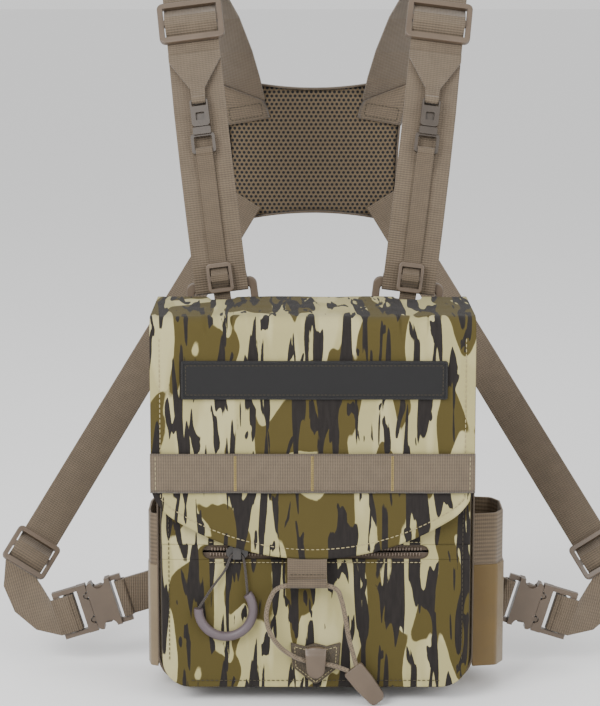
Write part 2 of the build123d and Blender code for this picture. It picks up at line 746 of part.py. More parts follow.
with BuildPart() as one_clip:
    with BuildSketch(clip_face.offset(-CLIP_T / 2)):
        with Locations((0, CLIP_LEN / 2)):
            RectangleRounded(CLIP_W, CLIP_LEN, 2.4)
    extrude(amount=CLIP_T)
    with BuildSketch(clip_face.offset(-CLIP_T / 2)):
        with Locations((0, CLIP_LEN - CLIP_BAR - CLIP_SLOT / 2)):
            Rectangle(CLIP_W - 2.4, CLIP_SLOT, mode=Mode.ADD)
    extrude(amount=CLIP_T, mode=Mode.SUBTRACT)
    for face_offset in (-CLIP_T / 2, CLIP_BAR_T / 2):
        with BuildSketch(clip_face.offset(face_offset)):
            with Locations((0, CLIP_LEN - CLIP_BAR / 2)):
                Rectangle(CLIP_W + 2, CLIP_BAR)
        extrude(amount=(CLIP_T - CLIP_BAR_T) / 2, mode=Mode.SUBTRACT)
    with BuildSketch(clip_face.offset(-CAVITY_T / 2)):
        with Locations((0, (TONGUE_LEN + 1) / 2 - 0.5)):
            Rectangle(CAVITY_W, TONGUE_LEN + 2)
    extrude(amount=CAVITY_T, mode=Mode.SUBTRACT)
    with BuildSketch(clip_face):
        with Locations((0, TONGUE_LEN * 0.62)):
            RectangleRounded(CAVITY_W - 2.2, 5.4, 0.8)
    extrude(amount=CLIP_T, mode=Mode.SUBTRACT)
tether_buckle_females = both_sides(one_clip)

MALE_HEAD = 5.0
MALE_RING = 12.5
with BuildPart() as tether_buckle_male_right:
    with BuildSketch(clip_face.offset(-CAVITY_T / 2 + CLIP_CLEAR)):
        with Locations((0, (TONGUE_LEN - 1) / 2)):
            Rectangle(CAVITY_W - 2 * CLIP_CLEAR, TONGUE_LEN + 1)
    extrude(amount=CAVITY_T - 2 * CLIP_CLEAR)
    with BuildSketch(clip_face.offset(-CLIP_T / 2 + 0.6)):
        with Locations((0, -CLIP_CLEAR - MALE_HEAD / 2)):
            RectangleRounded(CLIP_W, MALE_HEAD, 1.0)
    extrude(amount=CLIP_T - 1.2)
    with BuildSketch(clip_face.offset(-CLIP_BAR_T / 2)):
        with Locations((0, -MALE_HEAD - MALE_RING / 2)):
            RectangleRounded(CLIP_W + 4, MALE_RING + 1, 2.0)
            RectangleRounded(CLIP_W, MALE_RING + 1 - 2 * CLIP_BAR, 1.0, mode=Mode.SUBTRACT)
    extrude(amount=CLIP_BAR_T)
tether_buckle_male_left = mirrored(tether_buckle_male_right)
MALE_BAR_AT = -MALE_HEAD - MALE_RING - 0.5 + CLIP_BAR / 2

# funnel: webbing cut from the strap's width down to the clip's
FUNNEL_AT = (46.6, 160.0)
funnel_low = Vector(*turned(CLIP_AT, CLIP_TILT, [(CLIP_LEN + 0.6, 0)])[0])
funnel_way = Vector(*in_lean(*FUNNEL_AT)) - funnel_low
funnel_face = Plane(origin=funnel_low, x_dir=ACROSS, z_dir=Vector(*ACROSS).cross(funnel_way))
FUNNEL_LEN = funnel_way.length
NECK_W = CLIP_W - 3.0

CLIP_BAR_SIZE = (CLIP_BAR_T, CLIP_BAR)
upper_loop = loop_round(clip_side, (0, CLIP_BAR / 2 - CLIP_LEN), CLIP_BAR_SIZE, 0.4, TETHER_T, NECK_W)
with BuildPart() as tether_top_right:
    add(upper_loop.part)
    with BuildSketch(funnel_face.offset(-TETHER_T / 2)):
        with BuildLine():
            Polyline(
                (-NECK_W / 2, 0),
                (NECK_W / 2, 0),
                (NECK_W / 2 + 0.5, 8.0),
                (STRAP_W / 2, FUNNEL_LEN - 6.0),
                (STRAP_W / 2, FUNNEL_LEN),
                (-STRAP_W / 2, FUNNEL_LEN),
                (-STRAP_W / 2, FUNNEL_LEN - 6.0),
                (-NECK_W / 2 - 0.5, 8.0),
                (-NECK_W / 2, 0),
            )
        make_face()
    extrude(amount=TETHER_T)
tether_top_left = mirrored(tether_top_right)

TG_AT = (-6.6, 13.5)
TG_TILT = 6.0
TG_BAR = 3.0
TG_SLOT = 5.5
TG_T = 2.6
TG_UP = TG_T / 2 + TETHER_T / 2 + 0.4
TG_DOWN = -(TG_T / 2 + TETHER_T / 2 + 0.5)
TG_OUT = TG_BAR / 2 + TG_SLOT - 0.4
TG_IN = TG_BAR / 2 + 0.4
TETHER_END = (PACK_TOP - RING_Z) / LEAN_COS + TETHER_W / 2 * LEAN_SIN / LEAN_COS + 0.05
LOOP_HALF = CLIP_BAR_T / 2 + 0.4 + TETHER_T / 2

tether_run = strip(
    turned(CLIP_AT, CLIP_TILT, [(MALE_BAR_AT, LOOP_HALF)])
    + [in_lean(y, u) for y, u in ((6.8, 80.0), (2.4, 62.0), (-1.2, 43.0))]
    + turned(
        TG_AT,
        TG_TILT,
        [
            (13.0, TG_DOWN),
            (TG_OUT, TG_DOWN),
            (TG_IN, TG_UP),
            (-TG_IN, TG_UP),
            (-TG_OUT, TG_DOWN),
        ],
    )
    + [in_lean(-4.4, TETHER_END)],
    TETHER_W,
    TETHER_T,
    ACROSS,
    0.9,
)
lower_loop = loop_round(clip_side, (0, -MALE_BAR_AT), CLIP_BAR_SIZE, 0.4, TETHER_T, TETHER_W)
with BuildPart() as tether_strap_right:
    add(lower_loop.part)
    add(tether_run.part)
tether_strap_left = mirrored(tether_strap_right)

tg_along = Vector(*turned(TG_AT, TG_TILT, [(1, 0)])[0]) - Vector(*in_lean(*TG_AT))
tether_sliders = both_sides(
    glide(in_lean(*TG_AT), tuple(tg_along), ACROSS, TETHER_W, 6.0, TG_SLOT, TG_BAR, TG_T)
)

# ---- side straps: from the yoke's lower corners to the corner glides ----
SIDE_TOP = Vector(50.0, PAD_Y - WEB_T / 2 - 0.4, 166.0)
SIDE_LOW = Vector(193.0, 12.0, -58.0)
side_way = SIDE_LOW - SIDE_TOP
side_along = side_way.normalized()
side_across = side_way.cross(Vector(0, 1, 0)).normalized()
side_facing = side_along.cross(side_across).normalized()
if side_facing.Y > 0:
    side_facing = side_facing * -1
SG_BAR = 3.5
SG_SLOT = 8.0
SG_T = 3.6
SG_UP = SG_T / 2 + WEB_T / 2 + 0.4
SG_DOWN = -(SG_T / 2 + WEB_T / 2 + 0.5)
SG_OUT = SG_BAR / 2 + SG_SLOT - 0.5
SG_IN = SG_BAR / 2 + 0.6


def on_side(t, n):
    """Point t beyond the corner glide's centre along the side strap, n in front of it."""
    return tuple(SIDE_LOW + side_along * t + side_facing * n)


def side_share(share, sag):
    """Point along the side strap, hanging a little below the straight line."""
    way = SIDE_TOP + side_way * share
    return tuple(way + side_facing * sag)


side_strap_right = strip(
    [
        tuple(SIDE_TOP),
        side_share(0.22, -3.0),
        side_share(0.5, -6.0),
        side_share(0.75, -5.5),
        on_side(-24.0, SG_DOWN),
        on_side(-SG_OUT, SG_DOWN),
        on_side(-SG_IN, SG_UP),
        on_side(SG_IN, SG_UP),
        on_side(SG_OUT - 0.4, SG_DOWN + 0.4),
    ],
    SIDE_W,
    WEB_T,
    tuple(side_across),
    1.2,
)
side_strap_left = mirrored(side_strap_right)
side_sliders = both_sides(
    glide(tuple(SIDE_LOW), tuple(side_along), tuple(side_across), SIDE_W, 8.0, SG_SLOT, SG_BAR, SG_T)
)

# ---- side-release buckles ----
BUCKLE_AT = (127.0, -8.0, -83.0)
BUCKLE_TILT = 17.0
BUCKLE_W = 33.0
BUCKLE_T = 9.0
BAR_LEN = 3.0
FEMALE_SLOT = 4.5
FEMALE_LEN = 24.0
FEMALE_WALL = 2.5
FEMALE_SKIN = 1.6
CAVITY_FROM = 9.5
WINDOW_FROM = 11.5
WINDOW_LEN = 8.0
FIT = 0.4
MALE_BASE = 6.5
MALE_T = 7.0
LADDER_SLOT = 5.0
LADDER_END = 4.0
LADDER_T = 3.6
BUCKLE_TRAVEL = 24.0
tilt_cos = math.cos(math.radians(BUCKLE_TILT))
tilt_sin = math.sin(math.radians(BUCKLE_TILT))
OUTWARD = (tilt_cos, 0, -tilt_sin)
UPWARD = (tilt_sin, 0, tilt_cos)
buckle_face = Plane(origin=BUCKLE_AT, x_dir=OUTWARD, z_dir=(0, -1, 0))
buckle_side = Plane(origin=BUCKLE_AT, x_dir=OUTWARD, z_dir=UPWARD)
CAV_HALF = BUCKLE_W / 2 - FEMALE_WALL
CAV_T = BUCKLE_T - 2 * FEMALE_SKIN
CAV_LEN = FEMALE_LEN - CAVITY_FROM


def slab(plane, a0, a1, b0, b1, t):
    """Flat block centred on a plane, from a0 to a1 along it and b0 to b1 across it."""
    with BuildPart() as block:
        with BuildSketch(plane.offset(-t / 2)):
            with Locations(((a0 + a1) / 2, (b0 + b1) / 2)):
                Rectangle(a1 - a0, b1 - b0)
        extrude(amount=t)
    return block.part


with BuildPart() as one_female:
    with BuildSketch(buckle_face.offset(-BUCKLE_T / 2)) as shell:
        with Locations((FEMALE_LEN / 2, 0)):
            Rectangle(FEMALE_LEN, BUCKLE_W)
        fillet(shell.vertices(), 3)
    extrude(amount=BUCKLE_T)
    add(slab(buckle_face, -1, BAR_LEN + FEMALE_SLOT, -20, 20, BUCKLE_T + 2), mode=Mode.SUBTRACT)
    add(slab(buckle_face, 0, BAR_LEN, -BUCKLE_W / 2, BUCKLE_W / 2, LADDER_T))
    for side in (1, -1):
        inner, outer = sorted((side * (SIDE_W / 2 + 1), side * BUCKLE_W / 2))
        add(slab(buckle_face, 0, BAR_LEN + FEMALE_SLOT + 1, inner, outer, LADDER_T))
    add(slab(buckle_face, CAVITY_FROM, FEMALE_LEN + 1, -CAV_HALF, CAV_HALF, CAV_T), mode=Mode.SUBTRACT)
    windows = slab(buckle_face, WINDOW_FROM, WINDOW_FROM + WINDOW_LEN, -20, 20, CAV_T + 1.0)
    add(windows, mode=Mode.SUBTRACT)
    for side in (1, -1):
        with BuildSketch(buckle_face.offset(-BUCKLE_T)):
            with Locations((WINDOW_FROM + WINDOW_LEN / 2, side * BUCKLE_W / 2)):
                Ellipse(WINDOW_LEN / 2 + 0.6, 5.0)
        extrude(amount=2 * BUCKLE_T, mode=Mode.SUBTRACT)
buckle_females = both_sides(one_female)

PRONG_PIN = (FEMALE_LEN + 1.6, 8.5)
PRONG_PIN_R = 1.6
PRONG_T = CAV_T - 2 * FIT
LADDER_FROM = FEMALE_LEN + FIT + MALE_BASE
LADDER_BAR = LADDER_FROM + LADDER_SLOT
LADDER_LAST = LADDER_BAR + BAR_LEN + LADDER_SLOT

with BuildPart() as buckle_male_right:
    add(slab(buckle_face, FEMALE_LEN + FIT, LADDER_FROM, -BUCKLE_W / 2, BUCKLE_W / 2, MALE_T))
    ladder_end = LADDER_LAST + LADDER_END
    add(slab(buckle_face, LADDER_FROM - 1, ladder_end, -BUCKLE_W / 2, BUCKLE_W / 2, LADDER_T + 1.4))
    add(slab(buckle_face, LADDER_FROM, LADDER_LAST, -SIDE_W / 2 - 1, SIDE_W / 2 + 1, 12), mode=Mode.SUBTRACT)
    add(slab(buckle_face, LADDER_BAR, LADDER_BAR + BAR_LEN, -BUCKLE_W / 2, BUCKLE_W / 2, LADDER_T))
    add(slab(buckle_face, CAVITY_FROM + 1.2, FEMALE_LEN + 1, -3.0, 3.0, CAV_T - 2 * FIT))
    for side in (1, -1):
        with BuildSketch(buckle_face.offset(-6)):
            with Locations((PRONG_PIN[0], side * PRONG_PIN[1])):
                Circle(PRONG_PIN_R + FIT)
        extrude(amount=12, mode=Mode.SUBTRACT)
        pin_b = side * PRONG_PIN[1]
        mouth = slab(buckle_face, FEMALE_LEN, PRONG_PIN[0], pin_b - 2.8, pin_b + 2.8, 12)
        add(mouth, mode=Mode.SUBTRACT)
buckle_male_left = mirrored(buckle_male_right)


def prong(side):
    """Springy arm on a pin, its thumb pad standing in the female's side window."""
    pin = (PRONG_PIN[0], side * PRONG_PIN[1])
    pad_edge = CAV_HALF - FIT
    with BuildPart() as arm:
        with BuildSketch(buckle_face.offset(-PRONG_T / 2)):
            with Locations(pin):
                Circle(PRONG_PIN_R)
            with BuildLine():
                Polyline(
                    (pin[0], side * (PRONG_PIN[1] - 1.2)),
                    (pin[0], side * (PRONG_PIN[1] + 1.2)),
                    (WINDOW_FROM + WINDOW_LEN, side * (pad_edge - 0.6)),
                    (WINDOW_FROM + 3.0, side * pad_edge),
                    (WINDOW_FROM, side * (pad_edge - 2.0)),
                    (WINDOW_FROM, side * (pad_edge - 4.4)),
                    (pin[0], side * (PRONG_PIN[1] - 1.2)),
                )
            make_face()
        extrude(amount=PRONG_T)
    return arm


prong_upper_right = prong(1)
prong_lower_right = prong(-1)
prong_upper_left = mirrored(prong_upper_right)
prong_lower_left = mirrored(prong_lower_right)

# webbing stub sewn to the pack's side, folded round the female's bar
STUB_CLEAR = 0.5
stub_loop = loop_round(buckle_side, (BAR_LEN / 2, 0), (BAR_LEN, LADDER_T), STUB_CLEAR, WEB_T, SIDE_W)
with BuildPart() as one_stub:
    add(stub_loop.part)
    with BuildSketch(buckle_side):
        with Locations((-STUB_CLEAR - WEB_T / 2 - 18.0, 0)):
            Rectangle(36.0, 2 * WEB_T)
    extrude(amount=SIDE_W / 2, both=True)
    split(bisect_by=Plane.YZ.offset(POCKET_X), keep=Keep.TOP)
buckle_stubs = both_sides(one_stub)

# webbing from the ladder bar, curving up and out to the corner glide
LOOP_N = LADDER_T / 2 + STUB_CLEAR + WEB_T / 2


def on_buckle(a, b, n):
    """Point a outwards, b upwards and n in front of the buckle's origin."""
    out = Vector(*BUCKLE_AT) + Vector(*OUTWARD) * a + Vector(*UPWARD) * b
    return out + Vector(0, -n, 0)


loop_start = on_buckle(LADDER_BAR + BAR_LEN / 2, 0, LOOP_N + 0.6)
loop_clear = on_buckle(LADDER_LAST + LADDER_END + 1.5, 0, LOOP_N + 0.6)
loop_end = Vector(*on_side(SG_OUT + SG_BAR + 0.9, 0))


def webbing_face(inner, angle, along=None):
    """Cross-section of the side webbing, from its inner edge, with its width turned to an angle."""
    to_inner = Vector(math.cos(math.radians(angle)), 0, math.sin(math.radians(angle)))
    facing = along or to_inner.cross(Vector(0, -1, 0))
    centre = inner - to_inner * (SIDE_W / 2)
    with BuildSketch(Plane(origin=centre, x_dir=to_inner, z_dir=facing)) as face:
        Rectangle(SIDE_W, WEB_T)
    return face.sketch.faces()[0]


# the webbing fans round the corner below the glide, about its inner edge
half_up = Vector(*UPWARD) * (SIDE_W / 2)
turn_from = math.degrees(math.atan2(UPWARD[2], UPWARD[0]))
turn_to = math.degrees(math.atan2(-side_across.Z, -side_across.X)) % 360.0
inner_from = loop_clear + half_up
inner_to = loop_end - side_across * (SIDE_W / 2)
loop_faces = [webbing_face(loop_start + half_up, turn_from)]
for step in range(4):
    part_way = step / 4.0
    inner_edge = inner_from + (inner_to - inner_from) * part_way
    loop_faces.append(webbing_face(inner_edge, turn_from + (turn_to - turn_from) * part_way))
loop_faces.append(webbing_face(inner_to, turn_to, side_along * -1))
loop_centre = (LADDER_BAR + BAR_LEN / 2, 0)
loop_round_bar = loop_round(buckle_side, loop_centre, (BAR_LEN, LADDER_T), STUB_CLEAR, WEB_T, SIDE_W)
with BuildPart() as side_loop_right:
    add(loop_round_bar.part)
    for first, second in zip(loop_faces, loop_faces[1:]):
        loft(sections=[first, second], ruled=True)
side_loop_left = mirrored(side_loop_right)

# ---- write every piece ----
os.makedirs("parts", exist_ok=True)
pieces = {
    "chest_mesh": chest_mesh,
    "back_cover": back_cover,
    "back_foam": back_foam,
    "back_lining": back_lining,
    "side_wall": side_wall,
    "base_foam": base_foam,
    "front_wall": front_wall,
    "seam_bindings": seam_bindings,
    "pocket_gusset": pocket_gusset,
    "pocket_panel": pocket_panel,
    "zipper_tapes": zipper_tapes,
    "zipper_teeth": zipper_teeth,
    "zip_slider": zip_slider,
    "zip_pull_grip": zip_pull_grip,
    "zip_pull_cord": zip_pull_cord,
    "hook_patch": hook_patch,
    "closure_hook": closure_hook,
    "lid_top": lid_top,
    "lid_bead": lid_bead,
    "flap_front": flap_front,
    "molle_band": molle_band,
    "name_patch": name_patch,
    "closure_tab": closure_tab,
    "cord_pull": cord_pull,
    "closure_cord": closure_cord,
    "side_pocket_right": side_pocket_right,
    "side_pocket_left": side_pocket_left,
    "pocket_elastic_right": pocket_elastic_right,
    "pocket_elastic_left": pocket_elastic_left,
    "top_rings": top_rings,
    "ring_tabs": ring_tabs,
    "shoulder_strap_right": shoulder_strap_right,
    "shoulder_strap_left": shoulder_strap_left,
    "shoulder_sliders": shoulder_sliders,
    "yoke_pad": yoke_pad,
    "yoke_backing": yoke_backing,
    "yoke_binding": yoke_binding,
    "yoke_strap_right": yoke_strap_right,
    "yoke_strap_left": yoke_strap_left,
    "tether_buckle_females": tether_buckle_females,
    "tether_buckle_male_right": tether_buckle_male_right,
    "tether_buckle_male_left": tether_buckle_male_left,
    "tether_top_right": tether_top_right,
    "tether_top_left": tether_top_left,
    "tether_strap_right": tether_strap_right,
    "tether_strap_left": tether_strap_left,
    "tether_sliders": tether_sliders,
    "side_strap_right": side_strap_right,
    "side_strap_left": side_strap_left,
    "side_sliders": side_sliders,
    "buckle_stubs": buckle_stubs,
    "buckle_females": buckle_females,
    "buckle_male_right": buckle_male_right,
    "buckle_male_left": buckle_male_left,
    "prong_upper_right": prong_upper_right,
    "prong_lower_right": prong_lower_right,
    "prong_upper_left": prong_upper_left,
    "prong_lower_left": prong_lower_left,
    "side_loop_right": side_loop_right,
    "side_loop_left": side_loop_left,
}
for name, piece in pieces.items():
    piece.part.label = name
    export_step(piece.part, f"parts/{name}.step")

# ---- axes of the moving parts, for whoever assembles them ----
print("lid hinge y z", HINGE_Y, HINGE_Z)
print("flap fold y z", FOLD_Y, FOLD_Z)
print("closure hinge y z", HEM_Y, HEM_Z)
print("zip pull hinge y z", Y_PULL, PULL_Z)
print("buckle slide", [round(v, 5) for v in OUTWARD])
print("prong pins", [tuple(round(v, 3) for v in on_buckle(PRONG_PIN[0], s * PRONG_PIN[1], 0)) for s in (1, -1)])
print("tether slide", [round(-v, 5) for v in clip_up.normalized()])
print("corner glide", tuple(round(v, 2) for v in SIDE_LOW), "clip origin", tuple(round(v, 2) for v in clip_origin))
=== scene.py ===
# %% [markdown]
# A chest pack for binoculars. Its sizes, places and moving parts come from
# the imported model, and this file gives each piece its cloth, webbing or plastic.
# Everything is in metres, with +Z up and the wearer on the +Y side.

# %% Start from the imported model
import math

import bpy
import bmesh
import numpy as np
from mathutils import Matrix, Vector


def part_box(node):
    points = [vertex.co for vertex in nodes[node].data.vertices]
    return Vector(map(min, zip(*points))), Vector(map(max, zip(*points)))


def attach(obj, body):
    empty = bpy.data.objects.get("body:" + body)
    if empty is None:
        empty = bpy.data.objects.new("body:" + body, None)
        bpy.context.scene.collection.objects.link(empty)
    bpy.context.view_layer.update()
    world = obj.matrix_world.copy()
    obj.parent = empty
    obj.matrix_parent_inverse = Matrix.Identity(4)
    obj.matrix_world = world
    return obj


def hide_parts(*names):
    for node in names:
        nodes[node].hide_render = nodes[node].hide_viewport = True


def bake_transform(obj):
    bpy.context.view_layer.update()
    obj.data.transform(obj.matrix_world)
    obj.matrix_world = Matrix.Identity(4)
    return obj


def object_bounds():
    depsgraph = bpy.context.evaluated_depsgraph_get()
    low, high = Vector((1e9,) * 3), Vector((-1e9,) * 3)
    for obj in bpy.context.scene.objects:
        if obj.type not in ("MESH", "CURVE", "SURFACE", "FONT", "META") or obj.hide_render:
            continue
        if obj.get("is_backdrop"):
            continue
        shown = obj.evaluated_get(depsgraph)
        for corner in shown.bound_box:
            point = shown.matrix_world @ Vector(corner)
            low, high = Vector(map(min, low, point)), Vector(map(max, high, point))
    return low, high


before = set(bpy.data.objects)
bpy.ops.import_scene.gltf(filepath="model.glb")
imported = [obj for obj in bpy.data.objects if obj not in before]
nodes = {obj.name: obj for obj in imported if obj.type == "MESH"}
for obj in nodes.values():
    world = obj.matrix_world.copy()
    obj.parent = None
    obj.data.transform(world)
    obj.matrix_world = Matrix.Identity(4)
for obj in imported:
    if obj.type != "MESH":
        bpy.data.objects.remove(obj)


def corners():
    """The whole object's box as plain lists."""
    return [[round(float(v), 5) for v in corner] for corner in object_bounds()]


cad_box = corners()
print("packed box", cad_box)

# %% [markdown]
# The camera stands in front and a little above, far enough away that the pack
# looks nearly flat, so a long lens suits it.

# %% Camera
eye = bpy.data.cameras.new("front_camera")
eye.sensor_fit = "HORIZONTAL"
eye.sensor_width = 36.0
eye.lens = 144.0
eye.clip_end = 20.0
camera = bpy.data.objects.new("front_camera", eye)
camera.location = (-0.010, -1.5784, 0.3460)
camera.rotation_euler = (math.radians(80.5), 0.0, 0.0)
bpy.context.collection.objects.link(camera)
bpy.context.scene.camera = camera

# %% [markdown]
# Every finish is built from nodes. A maker picks paint and yarn colours as screen
# colours, so one function turns those into the linear values that the shaders
# want, and one small function adds any node with its settings and links.

# %% Colour and node helpers
MM = 0.001


def linear(hex_code):
    """sRGB hex to linear: below 0.04045 divide by 12.92, above it raise ((c+0.055)/1.055) to 2.4."""
    code = hex_code.lstrip("#")
    srgb = [int(code[i : i + 2], 16) / 255 for i in (0, 2, 4)]
    return tuple(c / 12.92 if c <= 0.04045 else ((c + 0.055) / 1.055) ** 2.4 for c in srgb) + (1.0,)


def add_node(tree, kind, settings=None, **links):
    """A node of that kind, with its settings, and each input given a value or a socket (spaces as _)."""
    node = tree.nodes.new(kind)
    for key, value in (settings or {}).items():
        setattr(node, key, value)
    for key, value in links.items():
        found = [s for s in node.inputs if s.enabled and s.name.replace(" ", "_") == key.rstrip("_")]
        socket = node.inputs[int(key[2:])] if key.startswith("in") and key[2:].isdigit() else found[0]
        if isinstance(value, bpy.types.NodeSocket):
            tree.links.new(value, socket)
        else:
            socket.default_value = value
    return node


def new_material(name, roughness=0.8, **sockets):
    """A material with one Principled shader; returns it, its tree and the shader."""
    made = bpy.data.materials.new(name)
    made.use_nodes = True
    tree = made.node_tree
    shader = tree.nodes["Principled BSDF"]
    shader.inputs["Roughness"].default_value = roughness
    for key, value in sockets.items():
        shader.inputs[key.replace("_", " ")].default_value = value
    return made, tree, shader


def sums(tree, operation, a, b=0.0, c=0.0, clamp=False):
    """One arithmetic step on numbers or sockets; gives its result socket."""
    settings = {"operation": operation, "use_clamp": clamp}
    return add_node(tree, "ShaderNodeMath", settings, in0=a, in1=b, in2=c).outputs[0]


def mixed(tree, factor, a, b, blend="MIX"):
    """Colour a goes to colour b as the factor goes from 0 to 1."""
    node = tree.nodes.new("ShaderNodeMix")
    node.data_type = "RGBA"
    node.blend_type = blend
    for index, value in ((0, factor), (6, a), (7, b)):
        if isinstance(value, bpy.types.NodeSocket):
            tree.links.new(value, node.inputs[index])
        else:
            node.inputs[index].default_value = value
    return node.outputs[2]


def steps(tree, factor, *stops):
    """A colour ramp through (place, linear colour) stops."""
    node = add_node(tree, "ShaderNodeValToRGB", Fac=factor)
    ramp = node.color_ramp
    while len(ramp.elements) < len(stops):
        ramp.elements.new(0.5)
    for element, (place, colour) in zip(ramp.elements, stops):
        element.position = place
        element.color = colour
    return node.outputs[0]


def grey(v):
    """A linear grey."""
    return (v, v, v, 1.0)


def shade(colour, k):
    """A linear colour made k times as bright, up to 1."""
    return tuple(min(1.0, c * k) for c in colour[:3]) + (1.0,)


def object_coords(tree, turn=(0.0, 0.0, 0.0)):
    """The piece's own metres, turned."""
    coords = add_node(tree, "ShaderNodeTexCoord").outputs["Object"]
    return add_node(tree, "ShaderNodeMapping", Vector=coords, Rotation=turn).outputs[0]


def uv_coords(tree):
    """The piece's own map, in metres across the cloth."""
    return add_node(tree, "ShaderNodeTexCoord").outputs["UV"]


def relief(tree, shader, height, distance, strength=1.0, creases=None, crease_depth=0.0):
    """Bump from a height of 0 to 1, this many metres deep, laid over broad creases if there are any."""
    bump = add_node(tree, "ShaderNodeBump", Height=height, Distance=distance, Strength=strength)
    if creases is not None:
        broad = add_node(tree, "ShaderNodeBump", Height=creases, Distance=crease_depth)
        tree.links.new(broad.outputs[0], bump.inputs["Normal"])
    tree.links.new(bump.outputs[0], shader.inputs["Normal"])


def noise(tree, vector, scale, detail=3.0, roughness=0.5, distortion=0.0):
    """Fractal noise from 0 to 1."""
    shape = {"Scale": scale, "Detail": detail, "Roughness": roughness, "Distortion": distortion}
    return add_node(tree, "ShaderNodeTexNoise", Vector=vector, **shape).outputs[0]


def waves(tree, vector, axis, period):
    """Sine of place along one axis, from 0 to 1, once every period metres."""
    parts = add_node(tree, "ShaderNodeSeparateXYZ", Vector=vector).outputs
    turns = sums(tree, "MULTIPLY", parts[axis], 2 * math.pi / period)
    return sums(tree, "MULTIPLY_ADD", sums(tree, "SINE", turns), 0.5, 0.5)


def weave(tree, vector, across, along, pitch):
    """Plain weave: warp and weft sines multiplied, so threads go over and under."""
    a = waves(tree, vector, across, pitch)
    b = waves(tree, vector, along, pitch)
    under = sums(tree, "MULTIPLY", sums(tree, "SUBTRACT", 1.0, a), sums(tree, "SUBTRACT", 1.0, b))
    return sums(tree, "ADD", sums(tree, "MULTIPLY", a, b), under)


# %% [markdown]
# The printed polyester is a bark camouflage: sand ground, broad olive-brown
# patches and narrow charcoal strips of bark, all drawn out up and down. Noise
# squeezed across and stretched along the cloth gives such strips.

# %% Printed polyester
SAND, PALE, OLIVE = "#9d9569", "#aaa278", "#4a4120"


def strips(tree, cloth, width, length, seed, ragged=0.1, wander=0.35):
    """Noise whose cells are width by length metres, plus a little finer noise that frays the edges."""

    def stretched(across, along, place):
        scale = (across / width, along / length, 1.0)
        return add_node(tree, "ShaderNodeMapping", Vector=cloth, Scale=scale, Location=place).outputs[0]

    big = stretched(1, 1, (seed, seed * 0.7, seed))
    fine = stretched(5, 9, (seed, seed, 0.0))
    frayed = sums(tree, "MULTIPLY_ADD", noise(tree, fine, 1.0, 3.0, 0.6), ragged, -ragged / 2)
    return sums(tree, "ADD", noise(tree, big, 1.0, 1.5, 0.5, wander), frayed)


def edge(tree, value, at, soft=0.008):
    """0 below a level and 1 above it, over a narrow ramp."""
    return sums(tree, "DIVIDE", sums(tree, "SUBTRACT", value, at), soft, clamp=True)


def camo_colours(tree, cloth):
    """Sand, then pale flecks, olive patches, and charcoal strips on top of them."""
    pale = edge(tree, strips(tree, cloth, 0.014, 0.060, 3.0, 0.03), 0.52, 0.1)
    olive = edge(tree, strips(tree, cloth, 0.026, 0.080, 11.0, 0.02, 0.5), 0.495)
    bark = edge(tree, strips(tree, cloth, 0.0088, 0.080, 23.0, 0.035, 0.5), 0.562)
    twig = edge(tree, strips(tree, cloth, 0.0064, 0.036, 37.0, 0.04, 0.5), 0.60)
    colour = mixed(tree, pale, linear(SAND), linear(PALE))
    colour = mixed(tree, olive, colour, linear(OLIVE))
    grain = strips(tree, cloth, 0.002, 0.012, 5.0)
    dark = mixed(tree, grain, linear("#1a1716"), linear("#2b2725"))
    return mixed(tree, sums(tree, "MAXIMUM", bark, twig), colour, dark)


def camo_cloth():
    """Brushed polyester: soft sheen and a weave of 0.9 mm, coarser than real so that it shows."""
    gloss = {"Sheen_Weight": 0.03, "Specular_IOR_Level": 0.2}
    made, tree, shader = new_material("brushed_polyester_bark_print", 0.88, **gloss)
    cloth = uv_coords(tree)
    threads = weave(tree, cloth, 0, 1, 0.9 * MM)
    # painted highlight on the thread crowns and painted shade between the threads, soft-lit over the print
    painted_weave_light = steps(tree, threads, (0.0, grey(0.05)), (1.0, grey(0.9)))
    colour = mixed(tree, 0.12, camo_colours(tree, cloth), painted_weave_light, "SOFT_LIGHT")
    tree.links.new(colour, shader.inputs["Base Color"])
    rough = sums(tree, "MULTIPLY_ADD", noise(tree, cloth, 40.0), 0.3, 0.5)
    creases = noise(tree, cloth, 22.0, 2.0, 0.4, 0.6)
    relief(tree, shader, sums(tree, "MULTIPLY_ADD", rough, 2.0, threads), 0.12 * MM, 0.8, creases, 2.2 * MM)
    return made


camo = camo_cloth()

# %% [markdown]
# Plain packcloth, webbing, elastic and binding share one taupe yarn. What tells
# them apart is the weave: webbing has cross ribs between two firm edges.

# %% Woven taupe finishes
TAUPE = "#5d5040"


def packcloth(name, hex_code, pitch=0.8, depth=0.1, sheen=0.2, roughness=0.85):
    """Plain-woven nylon of that colour; pitch and depth are of its threads, in millimetres."""
    made, tree, shader = new_material(name, roughness, Sheen_Weight=sheen)
    cloth = uv_coords(tree)
    threads = weave(tree, cloth, 0, 1, pitch * MM)
    worn = noise(tree, cloth, 60.0, 4.0, 0.6)
    base = linear(hex_code)
    dark, light = shade(base, 0.72), shade(base, 1.25)
    # the weave paints the colour dark between threads and light on their crowns (painted shade and painted
    # highlight), with random worn tone on top
    blend = sums(tree, "MULTIPLY_ADD", threads, 0.5, sums(tree, "MULTIPLY", worn, 0.5))
    tree.links.new(steps(tree, blend, (0.2, dark), (0.8, light)), shader.inputs["Base Color"])
    creases = noise(tree, cloth, 18.0, 2.0, 0.4, 1.2)
    relief(tree, shader, sums(tree, "MULTIPLY_ADD", worn, 1.5, threads), depth * MM, 1.0, creases, 3.5 * MM)
    return made


